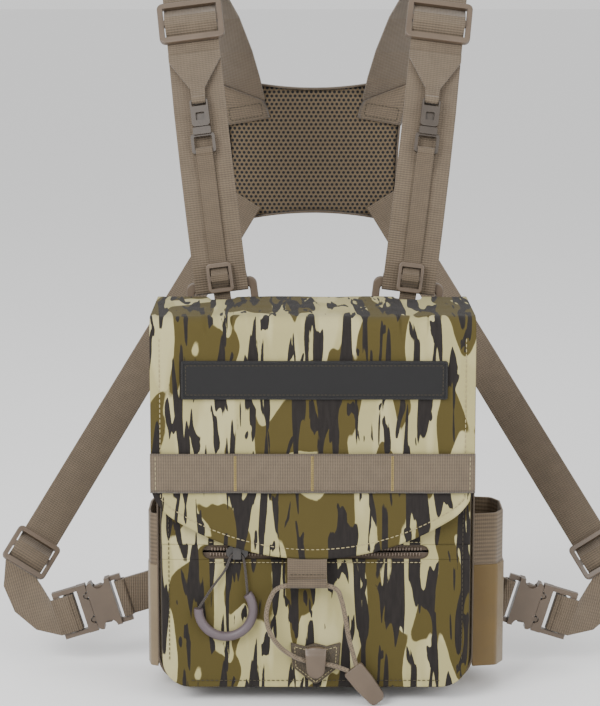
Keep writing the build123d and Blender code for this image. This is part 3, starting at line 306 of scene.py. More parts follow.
def webbing_finish(name, hex_code, rib=1.5, lane=2.1, depth=0.22):
    """Ribs across the webbing every rib mm, broken by lanes of warp every lane mm."""
    made, tree, shader = new_material(name, 0.78, Sheen_Weight=0.15)
    cloth = uv_coords(tree)
    ribs = waves(tree, cloth, 1, rib * MM)
    lanes = waves(tree, cloth, 0, lane * MM)
    worn = noise(tree, cloth, 120.0, 3.0)
    height = sums(tree, "MULTIPLY_ADD", lanes, 0.35, ribs)
    base = linear(hex_code)
    dark, light = shade(base, 0.6), shade(base, 1.25)
    # the rib height paints the colour dark in the hollows and light on the ribs (painted shade and painted
    # highlight), with random worn tone on top
    blend = sums(tree, "MULTIPLY_ADD", height, 0.5, sums(tree, "MULTIPLY", worn, 0.45))
    tree.links.new(steps(tree, blend, (0.15, dark), (0.9, light)), shader.inputs["Base Color"])
    relief(tree, shader, height, depth * MM)
    return made


def spacer_mesh(name, hex_code, pitch, hole_shade):
    """Air mesh: three cosines at 60 degrees add up to a hexagonal grid, whose peaks are the holes.

    Rows of peaks lie pitch mm apart; the holes take the last colour, painted shade for their depth."""
    made, tree, shader = new_material(name, 0.9, Sheen_Weight=0.2)
    parts = add_node(tree, "ShaderNodeSeparateXYZ", Vector=uv_coords(tree)).outputs
    k = 2 * math.pi / (pitch * MM) * 1.1547
    total = 0.0
    # the directions of the three waves; 1.1547 is 2 / sqrt(3)
    for cx, cy in ((0.866, 0.5), (0.866, -0.5), (0.0, 1.0)):
        phase = sums(tree, "MULTIPLY_ADD", parts[0], k * cx, sums(tree, "MULTIPLY", parts[1], k * cy))
        total = sums(tree, "ADD", sums(tree, "COSINE", phase), total)
    open_ = sums(tree, "MULTIPLY", sums(tree, "ADD", total, 0.35), 1.5, clamp=True)
    base = linear(hex_code)
    fuzz = noise(tree, uv_coords(tree), 900.0, 3.0)
    thread = mixed(tree, fuzz, shade(base, 0.7), shade(base, 1.35))
    # the holes are painted dark, as painted shade
    tree.links.new(mixed(tree, open_, thread, linear(hole_shade)), shader.inputs["Base Color"])
    relief(tree, shader, sums(tree, "SUBTRACT", 1.0, open_), 0.5 * MM)
    return made


webbing = webbing_finish("flat_nylon_webbing", TAUPE)
thin_webbing = webbing_finish("light_nylon_webbing", "#574a3a", 1.2, 1.6, 0.15)
elastic = webbing_finish("ribbed_elastic_band", "#5e503e", 2.6, 1.1, 0.2)
binding = webbing_finish("folded_grosgrain_binding", "#54483a", 0.9, 9.0, 0.1)
taupe_cloth = packcloth("taupe_packcloth", "#75664f")
lining_cloth = packcloth("grey_lining_cloth", "#453f36", 0.6)
pocket_cloth = packcloth("coyote_packcloth", "#5a4410", 0.7, 0.08, 0.3, 0.6)
black_cloth = packcloth("black_twill", "#0b0a0b", 0.8, 0.12, 0.1)
tape_cloth = packcloth("dark_zip_tape", "#4b3f33", 0.8)
# the last colour of each mesh is painted shade in its holes
air_mesh = spacer_mesh("spacer_air_mesh", "#5f503b", 3.4, "#0d0a07")
dark_mesh = spacer_mesh("dark_gusset_mesh", "#332c22", 2.4, "#0d0b09")

# %% [markdown]
# The buckles and glides are moulded nylon, bead-blasted in the mould so that it
# scatters light; the keeper patch is pressed leather, and the foam is closed-cell.

# %% Moulded, pressed and foamed finishes


def moulded(name, hex_code, roughness=0.42, grit=0.35, depth=0.03):
    """Nylon: grit-sized bumps and slightly uneven gloss from the mould."""
    made, tree, shader = new_material(name, roughness, IOR=1.53)
    place = object_coords(tree)
    grain = noise(tree, place, 1 / (grit * MM), 2.0)
    cloud = noise(tree, place, 60.0, 3.0)
    base = linear(hex_code)
    worn = steps(tree, cloud, (0.3, shade(base, 0.85)), (0.75, shade(base, 1.12)))
    tree.links.new(worn, shader.inputs["Base Color"])
    tree.links.new(sums(tree, "MULTIPLY_ADD", cloud, 0.18, roughness - 0.09), shader.inputs["Roughness"])
    relief(tree, shader, grain, depth * MM)
    return made


def leather_finish():
    """Pressed leather: grain cells about 1 mm across with creases between, darker in the creases."""
    made, tree, shader = new_material("pressed_leather", 0.55, IOR=1.5)
    place = object_coords(tree)
    cells = add_node(tree, "ShaderNodeTexVoronoi", {"feature": "DISTANCE_TO_EDGE"}, Vector=place, Scale=900.0)
    grain = steps(tree, cells.outputs[0], (0.0, grey(0.0)), (0.25, grey(1.0)))
    tree.links.new(mixed(tree, grain, linear("#2e261a"), linear("#4d412d")), shader.inputs["Base Color"])
    relief(tree, shader, grain, 0.15 * MM)
    return made


nylon = moulded("blasted_nylon", "#5a4c3e")
dark_nylon = moulded("dark_nylon", "#3d342b")
grip_rubber = moulded("soft_grip_tube", "#554a4e", 0.5, 0.5, 0.02)
coil_plastic = moulded("zip_coil_nylon", "#66574a", 0.35)
slider_metal = moulded("lacquered_zinc", "#2d2926", 0.3, 0.5, 0.02)
foam = moulded("closed_cell_foam", "#3c3c3c", 0.95, 0.9, 0.2)
leather = leather_finish()
thread = moulded("polyester_thread", "#958a66", 0.7, 0.3, 0.1)
gold_thread = moulded("gold_thread", "#8f7c45", 0.6, 0.3, 0.1)
dark_thread = moulded("dark_thread", "#37301f", 0.7, 0.3, 0.1)


def braid(name, hex_code, turn=1.4, depth=0.15):
    """Braided sleeve: two sets of diagonal waves crossing, turn mm apart."""
    made, tree, shader = new_material(name, 0.75, Sheen_Weight=0.2)
    place = object_coords(tree, turn=(0.0, 0.6, 0.785))
    crossing = sums(tree, "MAXIMUM", waves(tree, place, 0, turn * MM), waves(tree, place, 2, turn * MM))
    base = linear(hex_code)
    # the crossing height paints the colour: painted shade between the strands and painted highlight on them
    braid_shade_and_highlight = steps(tree, crossing, (0.3, shade(base, 0.6)), (1.0, shade(base, 1.2)))
    tree.links.new(braid_shade_and_highlight, shader.inputs["Base Color"])
    relief(tree, shader, crossing, depth * MM)
    return made


elastic_cord = braid("elastic_shock_cord", "#665846")
dark_cord = braid("braided_cord", "#332c28", 1.1, 0.1)
print("finishes", len(bpy.data.materials))

# %% [markdown]
# The two free cords come first. Each is a smooth NURBS line through the same
# route as its solid: the elastic loop hangs from the tab and hooks under the
# keeper, and the zip pull's cord goes through the slider and its grip tube.

# %% Cords


def cord_piece(name, route, diameter, material):
    """One open NURBS spline of order 3 with a round bevel."""
    curve = bpy.data.curves.new(name, "CURVE")
    curve.dimensions = "3D"
    curve.bevel_depth = diameter / 2
    curve.bevel_resolution = 4
    curve.resolution_u = 12
    curve.use_fill_caps = True
    spline = curve.splines.new("NURBS")
    spline.points.add(len(route) - 1)
    for point, place in zip(spline.points, route):
        point.co = (*[v * MM for v in place], 1.0)
    spline.order_u = 3
    spline.use_endpoint_u = True
    piece = bpy.data.objects.new(name, curve)
    bpy.context.collection.objects.link(piece)
    curve.materials.append(material)
    return piece


loop_route = [
    (21.1, -100.5, -107.3), (13.0, -99.2, -104.3), (4.5, -98.2, -102.9), (-5.0, -98.2, -101.8),
    (-14.5, -99.9, -98.0), (-23.0, -102.0, -91.2), (-29.3, -102.4, -82.0), (-32.0, -102.5, -71.5),
    (-30.0, -102.6, -60.5), (-23.8, -102.85, -49.25), (12.8, -102.85, -49.25), (17.0, -102.6, -61.5),
    (19.2, -102.4, -74.0), (21.2, -102.0, -86.0), (24.0, -101.2, -96.0), (25.7, -100.5, -103.5),
]
loop_cord = cord_piece("elastic_loop", loop_route, 3.0 * MM, elastic_cord)
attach(loop_cord, "closure")
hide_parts("closure_cord")

pull_route = [
    (-74.6, -96.9, -67.0), (-66.0, -96.45, -53.0), (-57.0, -95.75, -42.0), (-53.8, -95.25, -31.35),
    (-46.2, -95.25, -31.35), (-44.5, -95.85, -43.5), (-43.4, -96.9, -57.5),
]
pull_cord = cord_piece("zip_pull_line", pull_route, 1.6 * MM, dark_cord)
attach(pull_cord, "zip_pull")
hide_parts("zip_pull_cord")
print("cords", loop_cord.name, pull_cord.name)

# %% [markdown]
# Cloth panels are grids of points worked out with numpy from two parameters.
# One function turns such a grid into a mesh with a map in metres, so that weave
# and print run true along the cloth; another gives it its thickness.

# %% Panel helpers


def map_cloth(mesh, cloth):
    """Gives the mesh a map from cloth[vertex, uv], in metres."""
    layer = mesh.uv_layers[0] if mesh.uv_layers else mesh.uv_layers.new(name="cloth")
    corner = np.zeros(len(mesh.loops), np.int32)
    mesh.loops.foreach_get("vertex_index", corner)
    layer.data.foreach_set("uv", cloth[corner].ravel())


def vertex_places(mesh):
    """The mesh's points as an array of rows, in metres."""
    places = np.zeros(len(mesh.vertices) * 3)
    mesh.vertices.foreach_get("co", places)
    return places.reshape(-1, 3)


def placed(name, data):
    """An object of that name for a mesh or curve, linked into the scene."""
    piece = bpy.data.objects.new(name, data)
    bpy.context.collection.objects.link(piece)
    return piece


def grid_piece(name, places, cloth, material, thickness=0.0, offset=-1.0, closed=False):
    """A mesh from points places[row, column, xyz] in mm, with cloth[row, column, uv] in mm as its map."""
    places = np.asarray(places, float) * MM
    rows, columns = places.shape[:2]
    index = np.arange(rows * columns).reshape(rows, columns)
    if closed:
        index = np.hstack([index, index[:, :1]])
    quads = np.stack([index[:-1, :-1], index[:-1, 1:], index[1:, 1:], index[1:, :-1]], -1).reshape(-1, 4)
    mesh = bpy.data.meshes.new(name)
    mesh.from_pydata(places.reshape(-1, 3).tolist(), [], quads.tolist())
    map_cloth(mesh, np.asarray(cloth, float).reshape(-1, 2) * MM)
    mesh.shade_smooth()
    mesh.materials.append(material)
    piece = placed(name, mesh)
    if thickness:
        wall = piece.modifiers.new("cloth", "SOLIDIFY")
        wall.thickness, wall.offset = thickness * MM, offset
    return piece


def put(piece, body, slot, *replaced):
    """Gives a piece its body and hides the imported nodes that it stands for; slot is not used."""
    if body:
        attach(piece, body)
    if replaced:
        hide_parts(*replaced)
    return piece


def merged_copy(node, flat=False):
    """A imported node's mesh with its doubled points merged, and its flat faces joined up if flat."""
    work = bmesh.new()
    work.from_mesh(nodes[node].data)
    bmesh.ops.remove_doubles(work, verts=work.verts, dist=1e-6)
    if flat:
        bmesh.ops.dissolve_limit(work, angle_limit=0.02, verts=work.verts, edges=work.edges)
    mesh = bpy.data.meshes.new(node + "_cloth")
    work.to_mesh(mesh)
    work.free()
    mesh.materials.clear()
    return mesh


def cloth_copy(node, body, slot, material, across=(1, 0, 0), along=(0, 0, 1), soften=0.35, flat=True):
    """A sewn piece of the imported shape, its edges rounded, its map measured along two directions."""
    mesh = merged_copy(node, flat)
    places = vertex_places(mesh)
    u = places @ np.array(Vector(across).normalized())
    v = places @ np.array(Vector(along).normalized())
    map_cloth(mesh, np.stack([u, v], 1))
    mesh.materials.append(material)
    piece = placed(node + "_cloth", mesh)
    if soften:
        edges = piece.modifiers.new("soft_edges", "BEVEL")
        edges.width, edges.segments = soften * MM, 2
        edges.limit_method, edges.angle_limit = "ANGLE", math.radians(35)
        edges.harden_normals = True
    mesh.shade_smooth()
    return put(piece, body, slot, node)


def cut_across(piece, axis, count):
    """Cuts a piece into count slices along one axis."""
    work = bmesh.new()
    work.from_mesh(piece.data)
    low = min(v.co[axis] for v in work.verts)
    high = max(v.co[axis] for v in work.verts)
    normal = [float(k == axis) for k in range(3)]
    for n in range(1, count):
        point = [(low + (high - low) * n / count) * k for k in normal]
        whole = work.verts[:] + work.edges[:] + work.faces[:]
        bmesh.ops.bisect_plane(work, geom=whole, plane_co=point, plane_no=normal)
    work.to_mesh(piece.data)
    work.free()


def smooth_step(t):
    """3t^2 - 2t^3 between 0 and 1."""
    t = np.clip(t, 0, 1)
    return t * t * (3 - 2 * t)


def ripple(a, b, seed, size=40.0):
    """A sum of six sines in random directions: soft unevenness of about -1 to 1 over size mm."""
    rng = np.random.default_rng(seed)
    total = 0.0
    for _ in range(6):
        angle, phase = rng.uniform(0, 2 * math.pi, 2)
        k = rng.uniform(0.6, 1.8) * 2 * math.pi / (2 * size)
        total = total + np.sin(k * (a * math.cos(angle) + b * math.sin(angle)) + phase)
    return total / 3.0


# %% [markdown]
# The cover is one piece of printed cloth: it starts at the hinge seam, lies over
# the top, turns down over the front edge and ends in a shallow curve. It is one
# sheet that bends at the fold.

# %% Cover sheet
FLAP_X, FLAP_HALF = -2.0, 102.0
FLAP_LOW, FLAP_RISE = -34.0, 36.0
ARC_R = (FLAP_HALF**2 + FLAP_RISE**2) / (2 * FLAP_RISE)
CORNER_R, CORNER_LIFT = 14.0, 0.75
HEM = 6.0


def flap_edge(x):
    """Height of the flap's lower edge: an arc of radius ARC_R through FLAP_LOW, corners eased up."""
    r = np.abs(np.asarray(x, float) - FLAP_X)
    arc = FLAP_LOW + ARC_R - np.sqrt(ARC_R**2 - np.minimum(r, FLAP_HALF) ** 2)
    corner = np.clip(r - (FLAP_HALF - CORNER_R), 0, CORNER_R)
    return arc + (CORNER_R - np.sqrt(CORNER_R**2 - corner**2)) * CORNER_LIFT


HINGE_Y, LID_Z, FRONT_Y = -6.4, 121.0, -100.2
FOLD_R = 9.0
LID_RUN = HINGE_Y - FRONT_Y - FOLD_R
TOP_RUN = LID_RUN + FOLD_R * math.pi / 2


def cover_line(length):
    """Side view of the cover: along the lid from the hinge, a quarter circle of FOLD_R, then down."""
    turn = np.clip((length - LID_RUN) / FOLD_R, 0, math.pi / 2)
    y = np.where(length < LID_RUN, HINGE_Y - length, FRONT_Y + FOLD_R - FOLD_R * np.sin(turn))
    z = np.where(length < LID_RUN, LID_Z, LID_Z - FOLD_R + FOLD_R * np.cos(turn))
    down = length >= TOP_RUN
    return np.where(down, FRONT_Y, y), np.where(down, LID_Z - FOLD_R - (length - TOP_RUN), z)


columns, rows = 121, 150
# columns of points lie closer together towards the two sides
s = np.linspace(-1, 1, columns)
s = np.sign(s) * (1 - (1 - np.abs(s)) ** 1.25)
x_cover = FLAP_X + FLAP_HALF * s
full = TOP_RUN + LID_Z - FOLD_R - flap_edge(x_cover)
# the hinge edge is cut back where the two rings stand
RING_X, NOTCH_HALF, NOTCH_DEEP = 61.2, 9.5, 14.4
start = NOTCH_DEEP * smooth_step((NOTCH_HALF - np.abs(np.abs(x_cover) - RING_X)) / 2.0)
t = np.linspace(0, 1, rows)[:, None]
run = start[None, :] + (full - start)[None, :] * t
y_cover, z_cover = cover_line(run)
x_grid = np.repeat(x_cover[None, :], rows, 0)
puff = 0.45 * ripple(x_grid, run, 4, 38.0) + 0.25 * ripple(x_grid, run, 9, 16.0)
hem = np.minimum(full[None, :] - run, FLAP_HALF - np.abs(x_grid - FLAP_X))
# the hem's seam pulls a groove into the cloth
groove = -0.5 * np.exp(-(((hem - HEM) / 1.1) ** 2))
out = puff * smooth_step(hem / 12.0) + groove - 0.3
front_part = smooth_step((run - TOP_RUN + 14.0) / 14.0)
places = np.stack([x_grid, y_cover - out * front_part, z_cover + 0.5 * out * (1 - front_part)], -1)
cover = grid_piece("cover_sheet", places, np.stack([x_grid, -run], -1), camo, 2.3, 1.0)
# the side that faces the pack is plain lining
cover.data.materials.clear()
cover.data.materials.append(lining_cloth)
cover.data.materials.append(camo)
cover.modifiers["cloth"].material_offset = 1
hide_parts("lid_top", "flap_front")

# %% [markdown]
# Stitching is what makes a bag look sewn. Each stitch is a small grain of thread
# half sunk in the cloth; a seam is hundreds of them along a line, in one mesh.

# %% Stitch helper
grain_rings, grain_sides = 5, 6
ring_at = np.linspace(0, math.pi, grain_rings)
side_at = np.arange(grain_sides) * 2 * math.pi / grain_sides
grain = np.stack(
    [
        np.repeat(-np.cos(ring_at)[:, None] / 2, grain_sides, 1),
        np.sin(ring_at)[:, None] ** 0.7 * np.cos(side_at)[None, :] / 2,
        np.sin(ring_at)[:, None] ** 0.7 * np.sin(side_at)[None, :] / 2,
    ],
    -1,
)
grain[[0, -1], :, 1:] = 0.02 * np.stack([np.cos(side_at), np.sin(side_at)], -1)
grain_long, grain_wide, grain_high = (grain[..., k].reshape(-1, 1) for k in range(3))
ring = np.arange(grain_rings * grain_sides).reshape(grain_rings, grain_sides)
nxt = np.roll(ring, -1, 1)
grain_quads = np.stack([ring[:-1], nxt[:-1], nxt[1:], ring[1:]], -1).reshape(-1, 4)
grain_caps = [ring[0][::-1].tolist(), ring[-1].tolist()]


def seam(name, body, material, runs, outward=(0, -1, 0), pitch=3.2, thick=0.75, fill=0.78, slot="webbing"):
    """Stitches every pitch mm along each run of (x, y, z) mm points, each fill of the pitch long."""
    points, faces = [], []
    up = np.array(Vector(outward).normalized())
    for line in runs:
        line = np.asarray(line, float)
        hop = np.linalg.norm(np.diff(line, axis=0), axis=1)
        place = np.concatenate([[0], np.cumsum(hop)])
        count = max(1, int(round(place[-1] / pitch)))
        ends = np.linspace(0, place[-1], count + 1)
        at = np.stack([np.interp(ends, place, line[:, k]) for k in range(3)], -1)
        middle, way = (at[1:] + at[:-1]) / 2, at[1:] - at[:-1]
        long_ = np.linalg.norm(way, axis=1, keepdims=True)
        way = way / long_
        side = np.cross(way, up)
        body_points = (
            middle[:, None, :]
            + grain_long * (way * long_ * fill)[:, None, :]
            + grain_wide * (side * thick)[:, None, :]
            + grain_high * (up * thick)
        )
        for shape in body_points:
            shift = len(points) * ring.size
            points.append(shape)
            faces += (grain_quads + shift).tolist() + [[v + shift for v in cap] for cap in grain_caps]
    mesh = bpy.data.meshes.new(name)
    mesh.from_pydata((np.concatenate(points) * MM).tolist(), [], faces)
    work = bmesh.new()
    work.from_mesh(mesh)
    bmesh.ops.recalc_face_normals(work, faces=work.faces)
    work.to_mesh(mesh)
    work.free()
    mesh.shade_smooth()
    mesh.materials.append(material)
    return put(placed(name, mesh), body, slot)


def sides(corner_points):
    """Each side of an outline as a run of its own, so that stitches turn sharply at its corners."""
    return [[a, b] for a, b in zip(corner_points, corner_points[1:])]


def box_seam(x0, x1, z0, z1, y):
    """The four sides of a stitched rectangle."""
    return sides([(x0, y, z0), (x1, y, z0), (x1, y, z1), (x0, y, z1), (x0, y, z0)])


HEM_Y = -99.6
hem_x = np.linspace(FLAP_X - FLAP_HALF + HEM, FLAP_X + FLAP_HALF - HEM, 60)
hem_line = np.stack([hem_x, np.full(60, HEM_Y), flap_edge(hem_x) + HEM + 0.2], -1)
side_up = [[(x, HEM_Y, float(flap_edge(x)) + HEM + 0.2), (x, HEM_Y, 108.0)] for x in hem_x[[0, -1]]]
seam("flap_hem_stitches", "flap", thread, [hem_line, *side_up], slot="camo_fabric")

# %% [markdown]
# Webbing sewn flat is a shallow ribbon whose edges round over. Between its
# bartacks the loop band bows out a little, as it does where gear hooks in.

# %% Loop band, patch and closure tab


def ribbon(name, centre, width_way, out_way, width, thick, material, samples=9):
    """Webbing along centre[n, xyz]: a flat oval profile, width by thick, carried along it."""
    centre = np.asarray(centre, float)
    wide = np.broadcast_to(np.asarray(width_way, float), centre.shape)
    out_ = np.broadcast_to(np.asarray(out_way, float), centre.shape)
    a = np.concatenate([np.linspace(-1, 1, samples), np.linspace(1, -1, samples)[1:-1]])
    top = np.concatenate([np.ones(samples), -np.ones(samples - 2)])
    n = np.clip(1 - np.abs(a) ** 14, 0.0, 1) * top
    n[[0, samples - 1]] = 0
    profile_w, profile_n = a * width / 2, n * thick / 2
    sideways, outwards = wide[:, None, :] * profile_w[:, None], out_[:, None, :] * profile_n[:, None]
    places = centre[:, None, :] + sideways + outwards
    hop = np.concatenate([[0], np.cumsum(np.linalg.norm(np.diff(centre, axis=0), axis=1))])
    cloth = np.stack(np.broadcast_arrays(profile_w[None, :], hop[:, None]), -1)
    piece = grid_piece(name, places, cloth, material, closed=True)
    work = bmesh.new()
    work.from_mesh(piece.data)
    for face in bmesh.ops.holes_fill(work, edges=[e for e in work.edges if e.is_boundary])["faces"]:
        face.smooth = False
    bmesh.ops.recalc_face_normals(work, faces=work.faces)
    work.to_mesh(piece.data)
    work.free()
    return piece


BAND_HALF, BAND_H, BAND_Z, WEB_T = 102.4, 25.4, 22.0, 1.6
tacks = [-50.8, -2.3, 48.2]
bx = np.linspace(FLAP_X - BAND_HALF, FLAP_X + BAND_HALF, 160)
bow = np.abs(np.sin(math.pi * np.interp(bx, [bx[0], *tacks, bx[-1]], range(5))))
band_line = np.stack([bx, -101.35 - 0.9 * bow, np.full(160, BAND_Z)], -1)
band = ribbon("loop_band", band_line, (0, 0, 1), (0, -1, 0), BAND_H, WEB_T, webbing)
put(band, "flap", "webbing", "molle_band")


def upright(x, y, half):
    """A run straight up across the band."""
    return [(x, y, BAND_Z - half), (x, y, BAND_Z + half)]


tack_runs = [upright(x + d, -102.2, 11.2) for x in tacks for d in (-0.45, 0.45)]
seam("band_bartacks", "flap", gold_thread, tack_runs, pitch=1.15, thick=0.8, fill=1.05)
end_runs = [upright(x, -102.25, 11.0) for x in (-101.0, 97.0)]
seam("band_end_stitches", "flap", thread, end_runs, thick=0.6)

cloth_copy("name_patch", "flap", "black_fabric", black_cloth, soften=0.5)
patch_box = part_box("name_patch")
px0, px1 = patch_box[0].x / MM, patch_box[1].x / MM
pz0, pz1 = patch_box[0].z / MM, patch_box[1].z / MM
border = [r for d in (0.6, 1.2) for r in box_seam(px0 + d, px1 - d, pz0 + d, pz1 - d, -101.95)]
satin = moulded("black_satin_edge", "#0f0e10", 0.45, 0.3, 0.1)
seam("patch_satin_edge", "flap", satin, border, pitch=0.9, thick=0.9, fill=1.1, slot="black_fabric")
inner = box_seam(px0 + 3, px1 - 3, pz0 + 3, pz1 - 3, -101.9)
seam("patch_stitches", "flap", dark_thread, inner, pitch=2.4, thick=0.5, slot="black_fabric")

cloth_copy("closure_tab", "flap", "webbing", thin_webbing)
seam("tab_stitches", "flap", dark_thread, [[(x, -100.5, -43.8) for x in (-16.5, 5.5)]], thick=0.55, pitch=2.4)

# %% [markdown]
# The zip pocket's front is printed cloth over padding. It is a little fuller in
# the middle than at its seams, and it has a slot for the zipper.

# %% Zip pocket front


def half_width(z, half, low, high, low_r, high_r):
    """Half the width of a rounded rectangle at height z."""
    z = np.asarray(z, float)
    inset_low = low_r - np.sqrt(np.clip(low_r**2 - np.clip(low + low_r - z, 0, low_r) ** 2, 0, None))
    inset_high = high_r - np.sqrt(np.clip(high_r**2 - np.clip(z - high + high_r, 0, high_r) ** 2, 0, None))
    return half - inset_low - inset_high


def panel_rows(low, high, low_r, high_r, count):
    """Heights from low to high, packed closer inside the rounded corners."""
    inner = np.linspace(low + low_r, high - high_r, count)
    ends = 1 - np.cos(np.linspace(0, math.pi / 2, 14))
    bottom, top = low + low_r * ends[:-1] + 0.02, high - high_r * ends[:-1] - 0.02
    rows_all = np.sort(np.concatenate([bottom, inner, top]))
    return rows_all[np.concatenate([[True], np.diff(rows_all) > 0.15])]


PANEL_HALF = 98.0
SLOT_Z, SLOT_HALF, SLOT_R = -31.0, 72.0, 4.6


def printed_panel(name, low, high, low_r, high_r, seed):
    """A panel of the pocket front between two heights, swelling by 0.3 mm and creased by ripples."""
    low_r, high_r = max(low_r, 0.1), max(high_r, 0.1)
    z = panel_rows(low, high, low_r, high_r, 70)
    half = half_width(z, PANEL_HALF, low, high, low_r, high_r)
    u = np.linspace(-1, 1, 110)
    u = np.sign(u) * (1 - (1 - np.abs(u)) ** 1.3)
    x = half[:, None] * u[None, :]
    zz = np.repeat(z[:, None], 110, 1)
    from_edge = np.minimum(half[:, None] - np.abs(x), np.minimum(zz - low, high - zz))
    creased = 0.25 * ripple(x, zz, seed, 30.0) * smooth_step(from_edge / 10.0)
    y = -93.1 - 0.3 * smooth_step(from_edge / 14.0) - creased
    places = np.stack([x, y, zz], -1)
    piece = grid_piece(name, places, np.stack([x, zz + 0.4 * seed], -1), camo, 1.9, -1.0)
    return put(piece, "pack", "camo_fabric")


lower_front = printed_panel("pocket_front_lower", -120.0, SLOT_Z - SLOT_R, 18, 0, 3)
printed_panel("pocket_front_upper", SLOT_Z + SLOT_R, 86.0, 0, 8, 6)
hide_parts("pocket_panel")


def slot_end(side):
    """The strip beside one end of the zipper slot, between the two panels."""
    u = np.linspace(0, 1, 24)
    zz = np.linspace(SLOT_Z - SLOT_R - 0.1, SLOT_Z + SLOT_R + 0.1, 18)
    inner = SLOT_HALF - SLOT_R + np.sqrt(np.clip(SLOT_R**2 - (zz - SLOT_Z) ** 2, 0, None))
    x = inner[:, None] + (PANEL_HALF - inner[:, None]) * u[None, :]
    x = x * side if side > 0 else (x * side)[:, ::-1]
    z2 = np.repeat(zz[:, None], 24, 1)
    places = np.stack([x, np.full_like(x, -93.3), z2], -1)
    name = "slot_end_" + ("right" if side > 0 else "left")
    return put(grid_piece(name, places, np.stack([x, z2], -1), camo, 1.9, -1.0), "pack", "camo_fabric")


for side in (1, -1):
    slot_end(side)
slot_line = [[(x, -93.9, SLOT_Z + 6.6 * k) for x in (-68, 68)] for k in (-1, 1)]
seam("slot_stitches", "pack", thread, slot_line, pitch=2.8, thick=0.6, slot="camo_fabric")
rim_x = PANEL_HALF - 4.5
rim = [[(x, -93.7, 78.0), (x, -93.7, -102.0)] for x in (-rim_x, rim_x)]
rim.append([(-80.0, -93.7, -115.5), (80.0, -93.7, -115.5)])
seam("front_rim_stitches", "pack", dark_thread, rim, pitch=3.0, thick=0.55, slot="camo_fabric")

# %% [markdown]
# A coil zipper shows as two rows of small bent teeth that meet in the middle.
# Each is a short grain of nylon across its tape.

# %% Zipper
cloth_copy("zipper_tapes", "pack", "dark_cord", tape_cloth, (1, 0, 0), (0, 0, 1), 0.15)
tooth_x = np.arange(-66.5, 66.6, 1.9)
teeth = [
    [(x + 0.45 * k, -92.0, SLOT_Z + k * reach) for reach in (0.55, 2.9)]
    for x in tooth_x for k in (-1, 1)
]
coil = seam("zip_coil", "pack", coil_plastic, teeth, pitch=9.0, thick=1.25, fill=1.0, slot="zipper")
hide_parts("zipper_teeth")

# %% [markdown]
# The sides, the gusset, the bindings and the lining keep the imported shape, and
# get soft edges and a woven finish that runs the right way on each.

# %% Shell cloth
cloth_copy("side_wall", "pack", "taupe_fabric", taupe_cloth, (1, 1, 0), (0, 0, 1), 0.8)
cloth_copy("front_wall", "pack", "taupe_fabric", lining_cloth)
cloth_copy("back_lining", "pack", "taupe_fabric", lining_cloth)
cloth_copy("back_cover", "pack", "taupe_fabric", taupe_cloth)
cloth_copy("seam_bindings", "pack", "taupe_fabric", binding, (0, 1, 0), (1, 0, 1), 0.4)
cloth_copy("pocket_gusset", "pack", "dark_mesh", dark_mesh, (0, 1, 0), (1, 0, 1), 0.5)
cloth_copy("hook_patch", "pack", "leather", leather, soften=0.6)
for side in ("right", "left"):
    pouch = ("pocket_fabric", pocket_cloth) if side == "right" else ("taupe_fabric", taupe_cloth)
    cloth_copy("side_pocket_" + side, "pack", *pouch, (1, 1, 0), (0, 0, 1), 0.6)
    cloth_copy("pocket_elastic_" + side, "pack", "elastic", elastic, (1, 1, 0), (0, 0, 1), 0.5)
cloth_copy("lid_bead", "lid", "camo_fabric", binding, (1, 0, 0), (0, 1, 1), 0.3)
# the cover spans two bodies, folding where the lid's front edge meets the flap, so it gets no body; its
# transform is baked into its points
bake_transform(cover)

# %% [markdown]
# The keeper is a pressed-leather shield sewn on with pale thread. A moulded
# tongue stands off it, wide at its root and rounded at its tip, and the
# elastic loop is pulled down behind it.

# %% Keeper
shield = [(-16, 14), (-7, 11.5), (0, 13.5), (7, 11.5), (16, 14), (15, -2), (0, -14.5), (-15, -2), (-16, 14)]
shield_seam = [(0.84 * x, -95.45, -104.2 + 0.82 * z) for x, z in shield]
seam("keeper_stitches", "pack", thread, sides(shield_seam), pitch=2.3, thick=0.6, slot="leather")
down_tongue = np.linspace(0, 1, 28)[:, None]
round_tongue = np.linspace(0, 2 * math.pi, 29)[None, :-1]
# its tip rounds off over the last 28 % of its length
tip = np.sqrt(np.clip(1 - np.clip((down_tongue - 0.72) / 0.285, 0, 1) ** 2, 0.0004, 1))
tongue_half = (7.0 - 1.6 * down_tongue) * tip
tongue_thick = 1.5 * np.clip(tongue_half / 4.0, 0.03, 1) ** 0.5


def squared(wave, power):
    """A sine or cosine with its lobes filled out: a power below 1 squares off an oval."""
    return np.sign(wave) * np.abs(wave) ** power


tongue = np.stack(
    [
        tongue_half * squared(np.cos(round_tongue), 0.6),
        -101.5
        + tongue_thick * 0.62 * squared(np.sin(round_tongue), 0.7)
        + 2.4 * (1 - smooth_step(down_tongue / 0.25)),
        np.broadcast_to(-92.6 - 19.2 * down_tongue, (28, 28)),
    ],
    -1,
)
tongue_piece = grid_piece("keeper_tongue", tongue, tongue[..., [0, 2]], nylon, closed=True)


def close_ends(piece):
    """Caps a tube's open ends and turns every face outwards."""
    work = bmesh.new()
    work.from_mesh(piece.data)
    bmesh.ops.holes_fill(work, edges=[e for e in work.edges if e.is_boundary])
    bmesh.ops.recalc_face_normals(work, faces=work.faces)
    work.to_mesh(piece.data)
    work.free()


close_ends(tongue_piece)
put(tongue_piece, "pack", "plastic", "closure_hook")
post_ring = np.stack([6.0 * np.cos(round_tongue[0]), np.zeros(28), 1.8 * np.sin(round_tongue[0])], -1)
post = np.stack([post_ring + (0, y, -93.9) for y in (-95.2, -97.0, -100.2)])
post_piece = grid_piece("keeper_root", post, post[..., [0, 2]], nylon, closed=True)
close_ends(post_piece)
put(post_piece, "pack", "plastic")

# %% [markdown]
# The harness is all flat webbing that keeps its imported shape. Only the map differs
# from strap to strap, because the ribs have to run square across each one.

